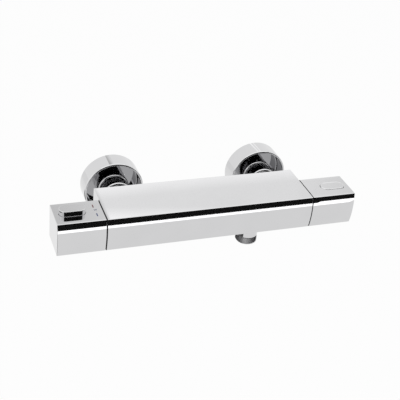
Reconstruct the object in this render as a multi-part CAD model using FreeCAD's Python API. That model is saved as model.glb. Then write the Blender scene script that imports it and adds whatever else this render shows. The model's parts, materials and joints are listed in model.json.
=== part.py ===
"""Thermostatic shower valve: a wall-mounted chromed bar with a square temperature handle at its left
end and a square flow handle at its right end.

Frame, in millimetres: X runs along the bar, the temperature handle at -X and the flow handle at +X.
+Y points into the wall and +Z up. The origin lies on the wall plane, midway between the two inlets,
at the height of the bar's axis.
"""
import FreeCAD
import Part
import math
import os

Vector = FreeCAD.Vector

# ---------------------------------------------------------------- driving dimensions, millimetres
# Bar
BODY_LENGTH = 200.0            # chromed brass body between the two handles
BAR_HEIGHT = 33.0              # flat top to flat underside
BAR_DEPTH = 33.5               # top front edge to the back of a handle
FRONT_BOW = 2.0                # how far the front face swells forward at mid height
WALL_TO_FRONT = 91.0           # wall plane to the top front edge
SHELF_DEPTH = 54.0             # the body is deeper than the handles, and makes a small shelf
SHELF_BACK_HEIGHT = 16.0       # upright back wall of the shelf, below its top
SHELF_ROOT_ROUND = 7.0         # hollow where the sloped underside meets the flat one
FRONT_EDGE_ROUND = 0.6
BACK_EDGE_ROUND = 0.8
END_EDGE_ROUND = 0.4

# Handles
HANDLE_LENGTH = 44.2
HANDLE_WALL = 2.4
HANDLE_CAP = 2.6               # closed outer end
SEAM_GAP = 0.8                 # dark seam between body and handle
GLIDE_THICKNESS = 0.6
GLIDE_INSET = 1.2
PART_FIT = 0.1                 # clearance between pieces that are screwed or pressed together
SHAFT_FIT = 0.05               # radial running clearance of a shaft or slide
CLEAR_PAST = 1.0               # how far a cut runs past the face it opens

# Buttons on top of the handles
BUTTON_LENGTH = 24.0
BUTTON_WIDTH = 12.0
BUTTON_STATION = 28.3          # centre of the button, outward from the body's end face
BUTTON_FIT = 0.15
SAFETY_BUTTON_RISE = 5.2       # red-stop release stands proud of the handle
ECO_BUTTON_RISE = 0.4
BUTTON_TRAVEL = 2.5            # room for the longer of the two strokes
BUTTON_WALL = 1.4
SAFETY_BUTTON_ROUND = 0.5
ECO_BUTTON_ROUND = 0.9         # the flush button's softer rim
SAFETY_SLOT_CHAMFER = 0.2
ECO_SLOT_CHAMFER = 0.6         # with the button's rim this makes the bright ring on top
FLANGE_MARGIN = 1.2            # flange that keeps the button in its slot
FLANGE_THICKNESS = 1.2
POST_RADIUS = 1.6              # guide post inside the button spring
BUTTON_SPRING_RADIUS = 2.5
BUTTON_SPRING_WIRE = 0.55
BUTTON_SPRING_TURNS = 4
WELL_WALL = 1.3
WELL_FLOOR_HEIGHT = 4.4        # spring seat, above the bar's axis

# Carrier inside each handle, and the spindle's drive
SPLINE_RADIUS = 4.5
SPLINE_DEPTH = 0.45
SPLINE_TEETH = 20
SPLINE_START = 13.0
SPLINE_END = 21.5
CARRIER_START = 13.6
CARRIER_HUB_RADIUS = 8.0
CARRIER_HUB_CAP = 1.2
CARRIER_WEB = 3.0
CARRIER_BED_THICKNESS = 2.5
CARRIER_END_GAP = 4.0          # carrier stops short of the handle's closed end
SCREW_HEAD_RADIUS = 3.4
SCREW_HEAD_HEIGHT = 2.2
SCREW_RADIUS = 2.0
SCREW_LENGTH = 8.0
SCREW_SOCKET_RADIUS = 1.73     # corners of the hexagon socket
SCREW_SOCKET_DEPTH = 1.5
GRUB_RADIUS = 2.5
GRUB_LENGTH = 6.5
GRUB_TIP = 0.8
GRUB_STATION = 34.0
GRUB_RECESS = 0.5
GRUB_SOCKET_RADIUS = 1.44
GRUB_SOCKET_DEPTH = 2.5

# Stop rings and the buttons' pawls
NUT_CLEARANCE = 0.25           # a hexagon's corners to the inside of the turning handle
NUT_HEIGHT = 4.0
NECK_RADIUS = 9.5
NECK_END = 7.0
STOP_HUB_RADIUS = 11.0
STOP_CLEARANCE = 0.7           # the stop ring's flange to the inside of the turning handle
STOP_FLANGE_START = 8.2
STOP_FLANGE_END = 10.4
STOP_LUG_END = 12.6
STOP_LUG_DEPTH = 2.2           # how deep the lug reaches in from the flange's rim
PAWL_WIDTH = 5.0
PAWL_THICKNESS = 1.4
PAWL_TOOTH_START = 10.8
PAWL_TOOTH_END = 12.3
PAWL_TOOTH_DEPTH = 1.2
STOP_SLACK_DEG = 1.5
TEMPERATURE_RANGE_DEG = (-50.0, 130.0)
FLOW_RANGE_DEG = (0.0, 90.0)
CLIP_RADIUS = 6.8
CLIP_THICKNESS = 0.8
CLIP_GROOVE = 0.6

# Thermostat cartridge, stations measured outward from the body's end face
CAVITY_DEPTH = 54.0
CAVITY_RADIUS = 12.5
MOUTH_RADIUS = 13.0
MOUTH_DEPTH = 8.0
RETAINER_THREAD = 6.0
HOUSING_FLANGE_BORE_STEP = 10.0
HOUSING_BORE = 9.6
HOUSING_RELIEF = 10.9
HOUSING_END_WALL = 1.2
HOUSING_END_HOLE = 5.6
HOT_RELIEF = (-33.5, -18.5)
COLD_RELIEF = (-49.5, -40.5)
HOT_WINDOW = (-33.0, -27.5)
COLD_WINDOW = (-47.5, -41.5)
WINDOW_WIDTH = 9.0
SEAL_STATIONS = (-14.5, -37.0, -51.8)
SEAL_WIDTH = 1.8
SEAL_DEPTH = 1.3
SCREEN_THICKNESS = 0.4
SCREEN_SLOTS = 12
SCREEN_SLOT_WIDTH = 1.2
SLIDE_SPAN = (-44.0, -30.0)
SLIDE_WALL = 1.3
SLIDE_WEB = (-38.5, -36.0)
SLIDE_PORTS = 4
SLIDE_PORT_RADIUS = 1.7
SLIDE_PORT_CIRCLE = 5.6
WAX_RADIUS = 4.3
WAX_END = -52.0
WAX_NOSE = 1.0
WAX_NECK_RADIUS = 2.8
WAX_NECK_END = -31.0
WAX_PIN_RADIUS = 1.3
WAX_HEAD = (-27.0, -26.0)
CUP_SPAN = (-27.0, -11.2)
CUP_FLOOR = (-22.0, -20.5)
CUP_SPRING_BORE = 6.0
KEY_WIDTH = 2.5                # key that keeps the regulating nut from turning
KEY_DEPTH = 0.7
KEYWAY = (-28.6, -9.0)
RETURN_SPRING_RADIUS = 6.9
RETURN_SPRING_WIRE = 1.1
RETURN_SPRING_TURNS = 4
OVERLOAD_SPRING_RADIUS = 4.9
OVERLOAD_SPRING_WIRE = 0.8
OVERLOAD_SPRING_TURNS = 2
SPINDLE_HEAD_RADIUS = 7.2
SPINDLE_HEAD_START = -19.0
SPINDLE_HEAD_END = -10.6

# Flow headwork
FLOW_CAVITY_DEPTH = 38.0
FLOW_CAVITY_RADIUS = 11.0
FLOW_SEAT_RADIUS = 8.5
FLOW_SEAT_STATION = -31.0
BONNET_SLEEVE_RADIUS = 9.2
BONNET_SHOULDER = -17.6
BONNET_BORE = 7.5
BONNET_BORE_END = -20.0
BONNET_WINDOW = (-27.0, -21.5)
BONNET_WINDOW_WIDTH = 7.0
DISC_RADIUS = 7.4
DISC_HOLE_INNER = 2.0
DISC_HOLE_OUTER = 6.0
DISC_HOLE_ANGLE = 76.0
LIP_SEAL_THICKNESS = 2.5
LIP_SEAL_BORE = 6.2
FIXED_DISC_THICKNESS = 3.0
MOVING_DISC_THICKNESS = 3.0
DISC_GROOVE_DEPTH = 1.0
DRIVER_WIDTH = 4.0
DRIVER_THICKNESS = 2.2
BONNET_SEAL_STATION = -16.6

# Water ways cast in the body
MIXED_DUCT_RADIUS = 4.5
HOT_DUCT_RADIUS = 6.5
COLD_DUCT_RADIUS = 4.5
COLD_DUCT_HEIGHT = 4.5
COLD_DUCT_INSET = 17.0         # cold duct's axis, forward of the shelf's back
COLD_PORT_RADIUS = 4.0
COLD_PORT_STATION = -45.0
COLD_INLET_DEPTH = 21.0
OUTLET_DUCT_RADIUS = 2.3
OUTLET_DUCT_WALL = 1.2         # left between this duct and the headwork's seat
OUTLET_DUCT_REACH = 5.0        # length over which it opens into the headwork's cavity
OUTLET_CHAMBER_HEIGHT = 8.6    # outlet bore, upward from the underside

# Inlets: stations measured from the wall plane towards the room
INLET_SPACING = 150.0
ROSETTE_RADIUS = 29.0
ROSETTE_DEPTH = 19.0
ROSETTE_WALL = 1.3
ROSETTE_FLOOR = 2.2
ROSETTE_EDGE = 0.4
GASKET_THICKNESS = 1.0
GASKET_WIDTH = 6.0
GASKET_MARGIN = 1.5
UNION_RADIUS = 15.6
UNION_FRONT = 16.0
UNION_BACK = -2.0
UNION_CHAMFER = 0.8
UNION_THREAD_RADIUS = 13.2
UNION_THREAD_END = 23.4
UNION_BORE = 9.0
UNION_BORE_BACK = 3.0
WALL_THREAD_RADIUS = 10.478
WALL_THREAD_LENGTH = 18.0
WALL_THREAD_BORE = 7.8
WALL_THREAD_OFFSET = 5.0       # the wall thread sits this far below the inlet axis
WASHER_THICKNESS = 2.0
NUT_RADIUS = 14.8
NUT_START = 16.6
NUT_END = 30.2
NUT_EDGE = 0.7
TAIL_FLANGE_RADIUS = 13.0
TAIL_FLANGE_THICKNESS = 2.2
TAIL_NECK_RADIUS = 12.0
TAIL_THREAD_RADIUS = 10.4
TAIL_THREAD_LENGTH = 11.0
TAIL_BORE = 8.1
BOSS_RADIUS = 14.5
SCREEN_DOME_RADIUS = 6.5
SCREEN_DOME_HEIGHT = 3.0
SCREEN_DOME_WALL = 0.4

# Check valve cartridges inside the tailpieces
CHECK_START = 28.0
CHECK_LENGTH = 16.0
CHECK_RADIUS = 8.0
CHECK_THROAT = 4.6
CHECK_THROAT_LENGTH = 4.0
CHECK_CHAMBER = 6.7
CHECK_SPIDER = 2.0
CHECK_SPIDER_HUB = 2.6
CHECK_SPIDER_ARM = 1.6
CHECK_SPIDER_ARMS = 3
POPPET_RADIUS = 5.8
POPPET_THICKNESS = 1.6
POPPET_STEM = 1.4
CHECK_SPRING_RADIUS = 2.6
CHECK_SPRING_WIRE = 0.45
CHECK_SPRING_TURNS = 4

# Hose outlet in the underside
OUTLET_X = 43.5
OUTLET_THREAD_RADIUS = 10.478  # G 1/2 external thread, crest radius
OUTLET_COLLAR_LENGTH = 10.3
OUTLET_GROOVE_LENGTH = 1.4
OUTLET_GROOVE_DEPTH = 1.1
OUTLET_LENGTH = 18.2
OUTLET_CHAMFER = 1.0
OUTLET_ROOT_RADIUS = 9.0
OUTLET_ROOT_LENGTH = 6.5
OUTLET_BORE = 6.5
OUTLET_SEAL_WIDTH = 1.6
OUTLET_SEAL_DEPTH = 1.2

# ---------------------------------------------------------------- places worked out from them
HALF_HEIGHT = BAR_HEIGHT / 2
HALF_BODY = BODY_LENGTH / 2
FRONT_Y = -WALL_TO_FRONT
HANDLE_BACK_Y = FRONT_Y + BAR_DEPTH
SHELF_BACK_Y = FRONT_Y + SHELF_DEPTH
AXIS_Y = FRONT_Y + BAR_DEPTH / 2
HANDLE_END = SEAM_GAP + HANDLE_LENGTH
HANDLE_INSIDE_END = HANDLE_END - HANDLE_CAP
INSIDE_TOP = HALF_HEIGHT - HANDLE_WALL
INSIDE_REACH = min(BAR_HEIGHT, BAR_DEPTH) / 2 - HANDLE_WALL
NUT_CORNER_RADIUS = INSIDE_REACH - NUT_CLEARANCE
STOP_FLANGE_RADIUS = INSIDE_REACH - STOP_CLEARANCE
STOP_LUG_INNER = STOP_FLANGE_RADIUS - STOP_LUG_DEPTH
BOW_RADIUS = (HALF_HEIGHT ** 2 + FRONT_BOW ** 2) / (2 * FRONT_BOW)
BOW_CENTRE_Y = FRONT_Y - FRONT_BOW + BOW_RADIUS
TAIL_START = UNION_THREAD_END + WASHER_THICKNESS
BODY_BACK_STATION = -SHELF_BACK_Y
LEFT = -1
RIGHT = 1
FULL_TURN = 360.0
SPRING_SAMPLES = 24            # points to a turn where a spring's gap to itself is measured


# ---------------------------------------------------------------- shape helpers
def place_on(origin, direction):
    """Placement that carries a piece built along +Z to an origin and a direction."""
    return FreeCAD.Placement(origin, FreeCAD.Rotation(Vector(0, 0, 1), direction))


def end_place(side):
    """Bar axis at one end face of the body, pointing outward."""
    return place_on(Vector(side * HALF_BODY, AXIS_Y, 0), Vector(side, 0, 0))


def inlet_place(side):
    """Inlet axis on the wall plane, pointing into the room."""
    return place_on(Vector(side * INLET_SPACING / 2, 0, 0), Vector(0, -1, 0))


def outlet_place():
    """Outlet axis on the bar's underside, pointing down."""
    return place_on(Vector(OUTLET_X, AXIS_Y, -HALF_HEIGHT), Vector(0, 0, -1))


def placed(shape, placement):
    """The shape carried to its place."""
    moved = shape.copy()
    moved.Placement = placement.multiply(moved.Placement)
    return moved


def turned(outer, bore=None):
    """Solid of revolution about Z from (station, radius) points, with an optional stepped bore."""
    inner = bore if bore else [(outer[0][0], 0.0), (outer[-1][0], 0.0)]
    loop = outer + inner[::-1]
    points = [Vector(radius, 0, station) for station, radius in loop]
    points.append(points[0])
    face = Part.Face(Part.makePolygon(points))
    return face.revolve(Vector(0, 0, 0), Vector(0, 0, 1), FULL_TURN)


def ring(start, end, outer_radius, inner_radius):
    """Plain ring between two stations."""
    return turned([(start, outer_radius), (end, outer_radius)],
                  [(start, inner_radius), (end, inner_radius)])


def rod(start, end, radius):
    """Plain cylinder between two stations."""
    return Part.makeCylinder(radius, end - start, Vector(0, 0, start))


def seal_ring(station, outer_radius, width, depth):
    """Squeezed O-ring: a ring with its corners taken off."""
    corner = width / 4
    low = station - width / 2
    high = station + width / 2
    inner_radius = outer_radius - depth
    outer = [(low, outer_radius - corner), (low + corner, outer_radius),
             (high - corner, outer_radius), (high, outer_radius - corner)]
    inner = [(low, inner_radius + corner), (low + corner, inner_radius),
             (high - corner, inner_radius), (high, inner_radius + corner)]
    return turned(outer, inner)


def prism(points, start, end):
    """Polygon in the XY plane, drawn out along Z."""
    corners = [Vector(x, y, start) for x, y in points]
    corners.append(corners[0])
    return Part.Face(Part.makePolygon(corners)).extrude(Vector(0, 0, end - start))


def hexagon(corner, start, end):
    """Six-sided bar, flat side up, with its corners at a radius."""
    points = [(corner * math.cos(math.radians(60 * k)), corner * math.sin(math.radians(60 * k)))
              for k in range(6)]
    return prism(points, start, end)


def splined(radius, start, end):
    """Bar with a fine toothed outline."""
    points = []
    for tooth in range(2 * SPLINE_TEETH):
        reach = radius - SPLINE_DEPTH * (tooth % 2)
        angle = math.pi * tooth / SPLINE_TEETH
        points.append((reach * math.cos(angle), reach * math.sin(angle)))
    return prism(points, start, end)


def cross_windows(width, start, end, reach):
    """Two crossed bars that cut four windows through a sleeve."""
    across = Part.makeBox(2 * reach, width, end - start, Vector(-reach, -width / 2, start))
    along = Part.makeBox(width, 2 * reach, end - start, Vector(-width / 2, -reach, start))
    return across.fuse(along)


def sector(inner_radius, outer_radius, start, end, middle_deg, spread_deg):
    """Part of a ring, centred on an angle in the XY plane."""
    block = ring(start, end, outer_radius, inner_radius)
    wedge = Part.makeCylinder(2 * outer_radius, end - start, Vector(0, 0, start),
                              Vector(0, 0, 1), spread_deg)
    wedge.rotate(Vector(0, 0, 0), Vector(0, 0, 1), middle_deg - spread_deg / 2)
    return block.common(wedge)


def pill(length, width, start, end):
    """Slot-shaped block along X with round ends, centred on Z."""
    radius = width / 2
    straight = length / 2 - radius
    top = Part.LineSegment(Vector(-straight, radius, start), Vector(straight, radius, start))
    right = Part.Arc(Vector(straight, radius, start), Vector(straight + radius, 0, start),
                     Vector(straight, -radius, start))
    bottom = Part.LineSegment(Vector(straight, -radius, start), Vector(-straight, -radius, start))
    left = Part.Arc(Vector(-straight, -radius, start), Vector(-straight - radius, 0, start),
                    Vector(-straight, radius, start))
    outline = Part.Wire([edge.toShape() for edge in (top, right, bottom, left)])
    return Part.Face(outline).extrude(Vector(0, 0, end - start))


def biarc(start, start_direction, end, end_direction):
    """Two arcs that join two points smoothly in given directions."""
    chord = end - start
    both = start_direction + end_direction
    spread = 2 * (1 - start_direction.dot(end_direction))
    along = chord.dot(both)
    reach = (math.sqrt(along ** 2 + spread * chord.dot(chord)) - along) / spread
    joint = (start + start_direction * reach + end - end_direction * reach) * 0.5
    edges = []
    for first, corner, last in ((start, start + start_direction * reach, joint),
                                (joint, end - end_direction * reach, end)):
        weight = (last - first).Length / (2 * reach)
        middle = (first + corner * (2 * weight) + last) * (1 / (2 * (1 + weight)))
        edges.append(Part.Arc(first, middle, last).toShape())
    return edges


def least_gap(path, wire_radius, turns):
    """Least gap between one stretch of a coiled wire and any other, half a turn or more along."""
    points = path.discretize(Number=turns * SPRING_SAMPLES + 1)
    apart = SPRING_SAMPLES // 2
    distances = [(last - first).Length for step, first in enumerate(points)
                 for last in points[step + apart:]]
    return min(distances) - 2 * wire_radius


def spring(radius, wire_radius, turns, start, end):
    """Compression spring about Z: one unbroken wire, an arc for every quarter turn."""
    low = start + wire_radius
    rise = (end - wire_radius - low) / (2 * math.pi * turns)
    stops = []
    for half_turn in range(2 * turns + 1):
        angle = math.pi * half_turn
        point = Vector(radius * math.cos(angle), radius * math.sin(angle), low + rise * angle)
        direction = Vector(-radius * math.sin(angle), radius * math.cos(angle), rise)
        stops.append((point, direction.normalize()))
    edges = []
    for (point, direction), (next_point, next_direction) in zip(stops, stops[1:]):
        edges += biarc(point, direction, next_point, next_direction)
    path = Part.Wire(edges)
    print("spring of radius", radius, "least gap to itself", round(least_gap(path, wire_radius, turns), 2))
    shell = Part.BRepOffsetAPI.MakePipeShell(path)
    shell.add(Part.Wire(Part.makeCircle(wire_radius, stops[0][0], stops[0][1])))
    shell.build()
    shell.makeSolid()
    return shell.shape()


# ---------------------------------------------------------------- bar section
def bow_y(inset, height):
    """Depth of the bowed front face at a height, moved inward by an inset."""
    reach = BOW_RADIUS - inset
    return BOW_CENTRE_Y - math.sqrt(reach ** 2 - height ** 2)


def bar_section(inset, back_points):
    """Closed outline in the YZ plane: bowed front, flat top, then the given back corners."""
    edge = HALF_HEIGHT - inset
    top_front = Vector(0, bow_y(inset, edge), edge)
    bottom_front = Vector(0, bow_y(inset, edge), -edge)
    bow = Part.Arc(bottom_front, Vector(0, bow_y(inset, 0), 0), top_front)
    corners = [top_front] + [Vector(0, y, z) for y, z in back_points] + [bottom_front]
    sides = [Part.LineSegment(first, last) for first, last in zip(corners, corners[1:])]
    return Part.Face(Part.Wire([edge_line.toShape() for edge_line in [bow] + sides]))


def handle_block(side, start, end, inset):
    """Solid with the handle's outline between two stations, shrunk by an inset."""
    back = HANDLE_BACK_Y - inset
    edge = HALF_HEIGHT - inset
    section = bar_section(inset, [(back, edge), (back, -edge)])
    block = section.extrude(Vector(side * (end - start), 0, 0))
    block.translate(Vector(side * (HALF_BODY + start), 0, 0))
    return block


def long_edges(shape, y_low, y_high, z_low=-HALF_HEIGHT, z_high=HALF_HEIGHT):
    """Edges along X whose middle lies in a window of the section."""
    slack = 0.01
    found = []
    for edge in shape.Edges:
        along_x = abs(edge.BoundBox.XLength - edge.Length) < slack
        middle = edge.BoundBox.Center
        inside_y = y_low - slack <= middle.y <= y_high + slack
        inside_z = z_low - slack <= middle.z <= z_high + slack
        if along_x and inside_y and inside_z:
            found.append(edge)
    return found


# ---------------------------------------------------------------- body
def body_block():
    """Body casting without its bores: bowed front, flat top, shelf and sloped underside."""
    slope_top = HALF_HEIGHT - SHELF_BACK_HEIGHT
    section = bar_section(0, [(SHELF_BACK_Y, HALF_HEIGHT), (SHELF_BACK_Y, slope_top),
                              (HANDLE_BACK_Y, -HALF_HEIGHT)])
    block = section.extrude(Vector(BODY_LENGTH, 0, 0))
    block.translate(Vector(-HALF_BODY, 0, 0))
    block = block.makeFillet(FRONT_EDGE_ROUND, long_edges(block, FRONT_Y, FRONT_Y))
    block = block.makeFillet(SHELF_ROOT_ROUND, long_edges(block, HANDLE_BACK_Y, HANDLE_BACK_Y))
    return block.makeFillet(BACK_EDGE_ROUND, long_edges(block, SHELF_BACK_Y, SHELF_BACK_Y))


def inlet_boss(side):
    """Round boss that carries an inlet out of the sloped underside to the shelf's back."""
    boss = rod(BODY_BACK_STATION, -AXIS_Y, BOSS_RADIUS)
    return placed(boss, inlet_place(side))


def thermostat_cavity():
    """Stepped bore for the thermostat cartridge."""
    mouth = rod(-MOUTH_DEPTH, CLEAR_PAST, MOUTH_RADIUS)
    return rod(-CAVITY_DEPTH, CLEAR_PAST, CAVITY_RADIUS).fuse(mouth)


def flow_cavity():
    """Stepped bore for the flow headwork."""
    return rod(-FLOW_CAVITY_DEPTH, FLOW_SEAT_STATION, FLOW_SEAT_RADIUS).fuse(
        rod(FLOW_SEAT_STATION, CLEAR_PAST, FLOW_CAVITY_RADIUS))


def water_ways():
    """Ducts: hot and cold to the thermostat, mixed water to the headwork, and out to the hose."""
    along_x = Vector(1, 0, 0)
    into_wall = Vector(0, 1, 0)
    inlet_x = INLET_SPACING / 2
    cavity_end_x = -HALF_BODY + CAVITY_DEPTH
    seat_x = HALF_BODY - FLOW_CAVITY_DEPTH
    mixed = Part.makeCylinder(MIXED_DUCT_RADIUS, seat_x - cavity_end_x + 2 * CLEAR_PAST,
                              Vector(cavity_end_x - CLEAR_PAST, AXIS_Y, 0), along_x)
    hot = Part.makeCylinder(HOT_DUCT_RADIUS, SHELF_BACK_Y - AXIS_Y,
                            Vector(-inlet_x, AXIS_Y, 0), into_wall)
    cold_y = SHELF_BACK_Y - COLD_DUCT_INSET
    cold_port_x = -HALF_BODY - COLD_PORT_STATION
    cold_inlet = Part.makeCylinder(HOT_DUCT_RADIUS, COLD_INLET_DEPTH,
                                   Vector(inlet_x, SHELF_BACK_Y - COLD_INLET_DEPTH, 0), into_wall)
    cold_duct_end = cold_port_x - COLD_DUCT_RADIUS
    cold_duct = Part.makeCylinder(COLD_DUCT_RADIUS, inlet_x - cold_duct_end,
                                  Vector(cold_duct_end, cold_y, COLD_DUCT_HEIGHT), along_x)
    cold_port = Part.makeCylinder(COLD_PORT_RADIUS, cold_y - AXIS_Y,
                                  Vector(cold_port_x, AXIS_Y, COLD_DUCT_HEIGHT), into_wall)
    outlet_duct_z = -(FLOW_SEAT_RADIUS + OUTLET_DUCT_WALL + OUTLET_DUCT_RADIUS)
    outlet_reach = HALF_BODY + FLOW_SEAT_STATION + OUTLET_DUCT_REACH - OUTLET_X
    outlet_duct = Part.makeCylinder(OUTLET_DUCT_RADIUS, outlet_reach,
                                    Vector(OUTLET_X, AXIS_Y, outlet_duct_z), along_x)
    outlet = placed(rod(-OUTLET_CHAMBER_HEIGHT, CLEAR_PAST, OUTLET_ROOT_RADIUS), outlet_place())
    return [mixed, hot, cold_inlet, cold_duct, cold_port, outlet_duct, outlet]


def valve_body():
    """Chromed brass body with its cavities, ducts and threaded inlets."""
    body = body_block()
    for side in (LEFT, RIGHT):
        body = body.fuse(inlet_boss(side))
    cuts = [placed(thermostat_cavity(), end_place(LEFT)), placed(flow_cavity(), end_place(RIGHT))]
    cuts += water_ways()
    tail_bore = rod(BODY_BACK_STATION - CLEAR_PAST, BODY_BACK_STATION + TAIL_THREAD_LENGTH,
                    TAIL_THREAD_RADIUS)
    for side in (LEFT, RIGHT):
        cuts.append(placed(tail_bore, inlet_place(side)))
    for cut in cuts:
        body = body.cut(cut)
    return body.removeSplitter()


def glide_plate(side):
    """Dark sliding plate in the seam between body and handle."""
    plate = handle_block(side, 0, GLIDE_THICKNESS, GLIDE_INSET)
    hole = rod(-CLEAR_PAST, GLIDE_THICKNESS + CLEAR_PAST, NUT_CORNER_RADIUS + PART_FIT)
    return plate.cut(placed(hole, end_place(side)))


# ---------------------------------------------------------------- handles and buttons
def button_place(side, height):
    """Centre of a button at a height above the bar's axis."""
    return FreeCAD.Placement(Vector(side * (HALF_BODY + BUTTON_STATION), AXIS_Y, height),
                             FreeCAD.Rotation())


def grub_place(side):
    """Axis of the grub screw, from the handle's underside upward."""
    return place_on(Vector(side * (HALF_BODY + GRUB_STATION), AXIS_Y, -HALF_HEIGHT), Vector(0, 0, 1))


def slot_rim(shell, side):
    """Edges where a button's slot meets the top of its handle."""
    reach_x = BUTTON_LENGTH / 2 + HANDLE_WALL
    reach_y = BUTTON_WIDTH / 2 + HANDLE_WALL
    middle = Vector(side * (HALF_BODY + BUTTON_STATION), AXIS_Y, HALF_HEIGHT)
    found = []
    for edge in shell.Edges:
        box = edge.BoundBox
        on_top = box.ZMin > HALF_HEIGHT - BUTTON_FIT
        inside_x = abs(box.XMin - middle.x) < reach_x and abs(box.XMax - middle.x) < reach_x
        inside_y = abs(box.YMin - middle.y) < reach_y and abs(box.YMax - middle.y) < reach_y
        if on_top and inside_x and inside_y:
            found.append(edge)
    return found


def handle_shell(side, slot_chamfer):
    """Chromed square sleeve, closed at its outer end, with a slot for the button on top."""
    shell = handle_block(side, SEAM_GAP, HANDLE_END, 0)
    shell = shell.makeFillet(FRONT_EDGE_ROUND, long_edges(shell, FRONT_Y, FRONT_Y))
    shell = shell.makeFillet(BACK_EDGE_ROUND, long_edges(shell, HANDLE_BACK_Y, HANDLE_BACK_Y))
    end_x = side * (HALF_BODY + HANDLE_END)
    end_edges = [edge for edge in shell.Edges
                 if abs(edge.BoundBox.Center.x - end_x) < END_EDGE_ROUND
                 and edge.BoundBox.XLength < END_EDGE_ROUND]
    shell = shell.makeFillet(END_EDGE_ROUND, end_edges)
    shell = shell.cut(handle_block(side, SEAM_GAP - CLEAR_PAST, HANDLE_INSIDE_END, HANDLE_WALL))
    slot = pill(BUTTON_LENGTH + 2 * BUTTON_FIT, BUTTON_WIDTH + 2 * BUTTON_FIT,
                INSIDE_TOP - CLEAR_PAST, HALF_HEIGHT + CLEAR_PAST)
    shell = shell.cut(placed(slot, button_place(side, 0)))
    shell = shell.makeChamfer(slot_chamfer, slot_rim(shell, side))
    return shell.cut(placed(rod(-CLEAR_PAST, HANDLE_WALL + CLEAR_PAST, GRUB_RADIUS), grub_place(side)))


def carrier(side):
    """Moulded insert that ties the handle to the spindle and holds the button's spring."""
    web_end = CARRIER_START + CARRIER_WEB
    outline_inset = HANDLE_WALL + PART_FIT
    hub_end = SPLINE_END + CARRIER_HUB_CAP
    bed_end = HANDLE_INSIDE_END - CARRIER_END_GAP
    hub = placed(rod(CARRIER_START, hub_end, CARRIER_HUB_RADIUS), end_place(side))
    web = handle_block(side, web_end, web_end + CARRIER_WEB, outline_inset)
    web_top = INSIDE_TOP - FLANGE_THICKNESS - BUTTON_TRAVEL - PAWL_THICKNESS
    bed_low = WELL_FLOOR_HEIGHT - CARRIER_BED_THICKNESS
    far_x = HALF_BODY + bed_end
    near_x = HALF_BODY + hub_end - CARRIER_HUB_CAP
    foot_width = BUTTON_WIDTH
    bed = Part.makeBox(far_x - near_x, foot_width, CARRIER_BED_THICKNESS,
                       Vector(min(side * near_x, side * far_x), AXIS_Y - foot_width / 2, bed_low))
    foot_low = -HALF_HEIGHT + outline_inset
    foot = Part.makeBox(2 * SCREW_HEAD_RADIUS, foot_width, bed_low - foot_low,
                        Vector(side * (HALF_BODY + GRUB_STATION) - SCREW_HEAD_RADIUS,
                               AXIS_Y - foot_width / 2, foot_low))
    well_radius = BUTTON_SPRING_RADIUS + BUTTON_SPRING_WIRE + PART_FIT
    well_height = BUTTON_TRAVEL
    well = placed(rod(bed_low, WELL_FLOOR_HEIGHT + well_height, well_radius + WELL_WALL),
                  button_place(side, 0))
    piece = hub.fuse([web, bed, foot, well])
    head_room = Part.makeBox(HANDLE_LENGTH, BAR_DEPTH, HALF_HEIGHT,
                             Vector(side * (HALF_BODY + HANDLE_LENGTH / 2) - HANDLE_LENGTH / 2,
                                    HANDLE_BACK_Y - BAR_DEPTH, web_top))
    piece = piece.cut(head_room)
    bore = splined(SPLINE_RADIUS + PART_FIT, CARRIER_START - CLEAR_PAST, SPLINE_END + PART_FIT)
    piece = piece.cut(placed(bore, end_place(side)))
    screw_room = rod(hub_end, hub_end + SCREW_HEAD_HEIGHT + CLEAR_PAST, SCREW_HEAD_RADIUS + PART_FIT)
    piece = piece.cut(placed(screw_room, end_place(side)))
    screw_hole = rod(SPLINE_END, hub_end + CLEAR_PAST, SCREW_RADIUS + PART_FIT)
    piece = piece.cut(placed(screw_hole, end_place(side)))
    spring_room = rod(WELL_FLOOR_HEIGHT, HALF_HEIGHT, well_radius)
    piece = piece.cut(placed(spring_room, button_place(side, 0)))
    grub_hole = rod(0, GRUB_RECESS + GRUB_LENGTH + PART_FIT, GRUB_RADIUS)
    return piece.cut(placed(grub_hole, grub_place(side))).removeSplitter()


def carrier_screw(side):
    """Screw that holds the carrier on the spindle."""
    head_start = SPLINE_END + CARRIER_HUB_CAP
    head_end = head_start + SCREW_HEAD_HEIGHT
    screw = turned([(head_start - SCREW_LENGTH, SCREW_RADIUS), (head_start, SCREW_RADIUS),
                    (head_start, SCREW_HEAD_RADIUS), (head_end, SCREW_HEAD_RADIUS)])
    socket = hexagon(SCREW_SOCKET_RADIUS, head_end - SCREW_SOCKET_DEPTH, head_end + CLEAR_PAST)
    return placed(screw.cut(socket), end_place(side))


def grub_screw(side):
    """Socket set screw that clamps the handle on its carrier, from below."""
    low = GRUB_RECESS
    high = GRUB_RECESS + GRUB_LENGTH
    screw = turned([(low, GRUB_RADIUS), (high - GRUB_TIP, GRUB_RADIUS),
                    (high, GRUB_RADIUS - GRUB_TIP)])
    socket = hexagon(GRUB_SOCKET_RADIUS, low - CLEAR_PAST, low + GRUB_SOCKET_DEPTH)
    return placed(screw.cut(socket), grub_place(side))


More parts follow.
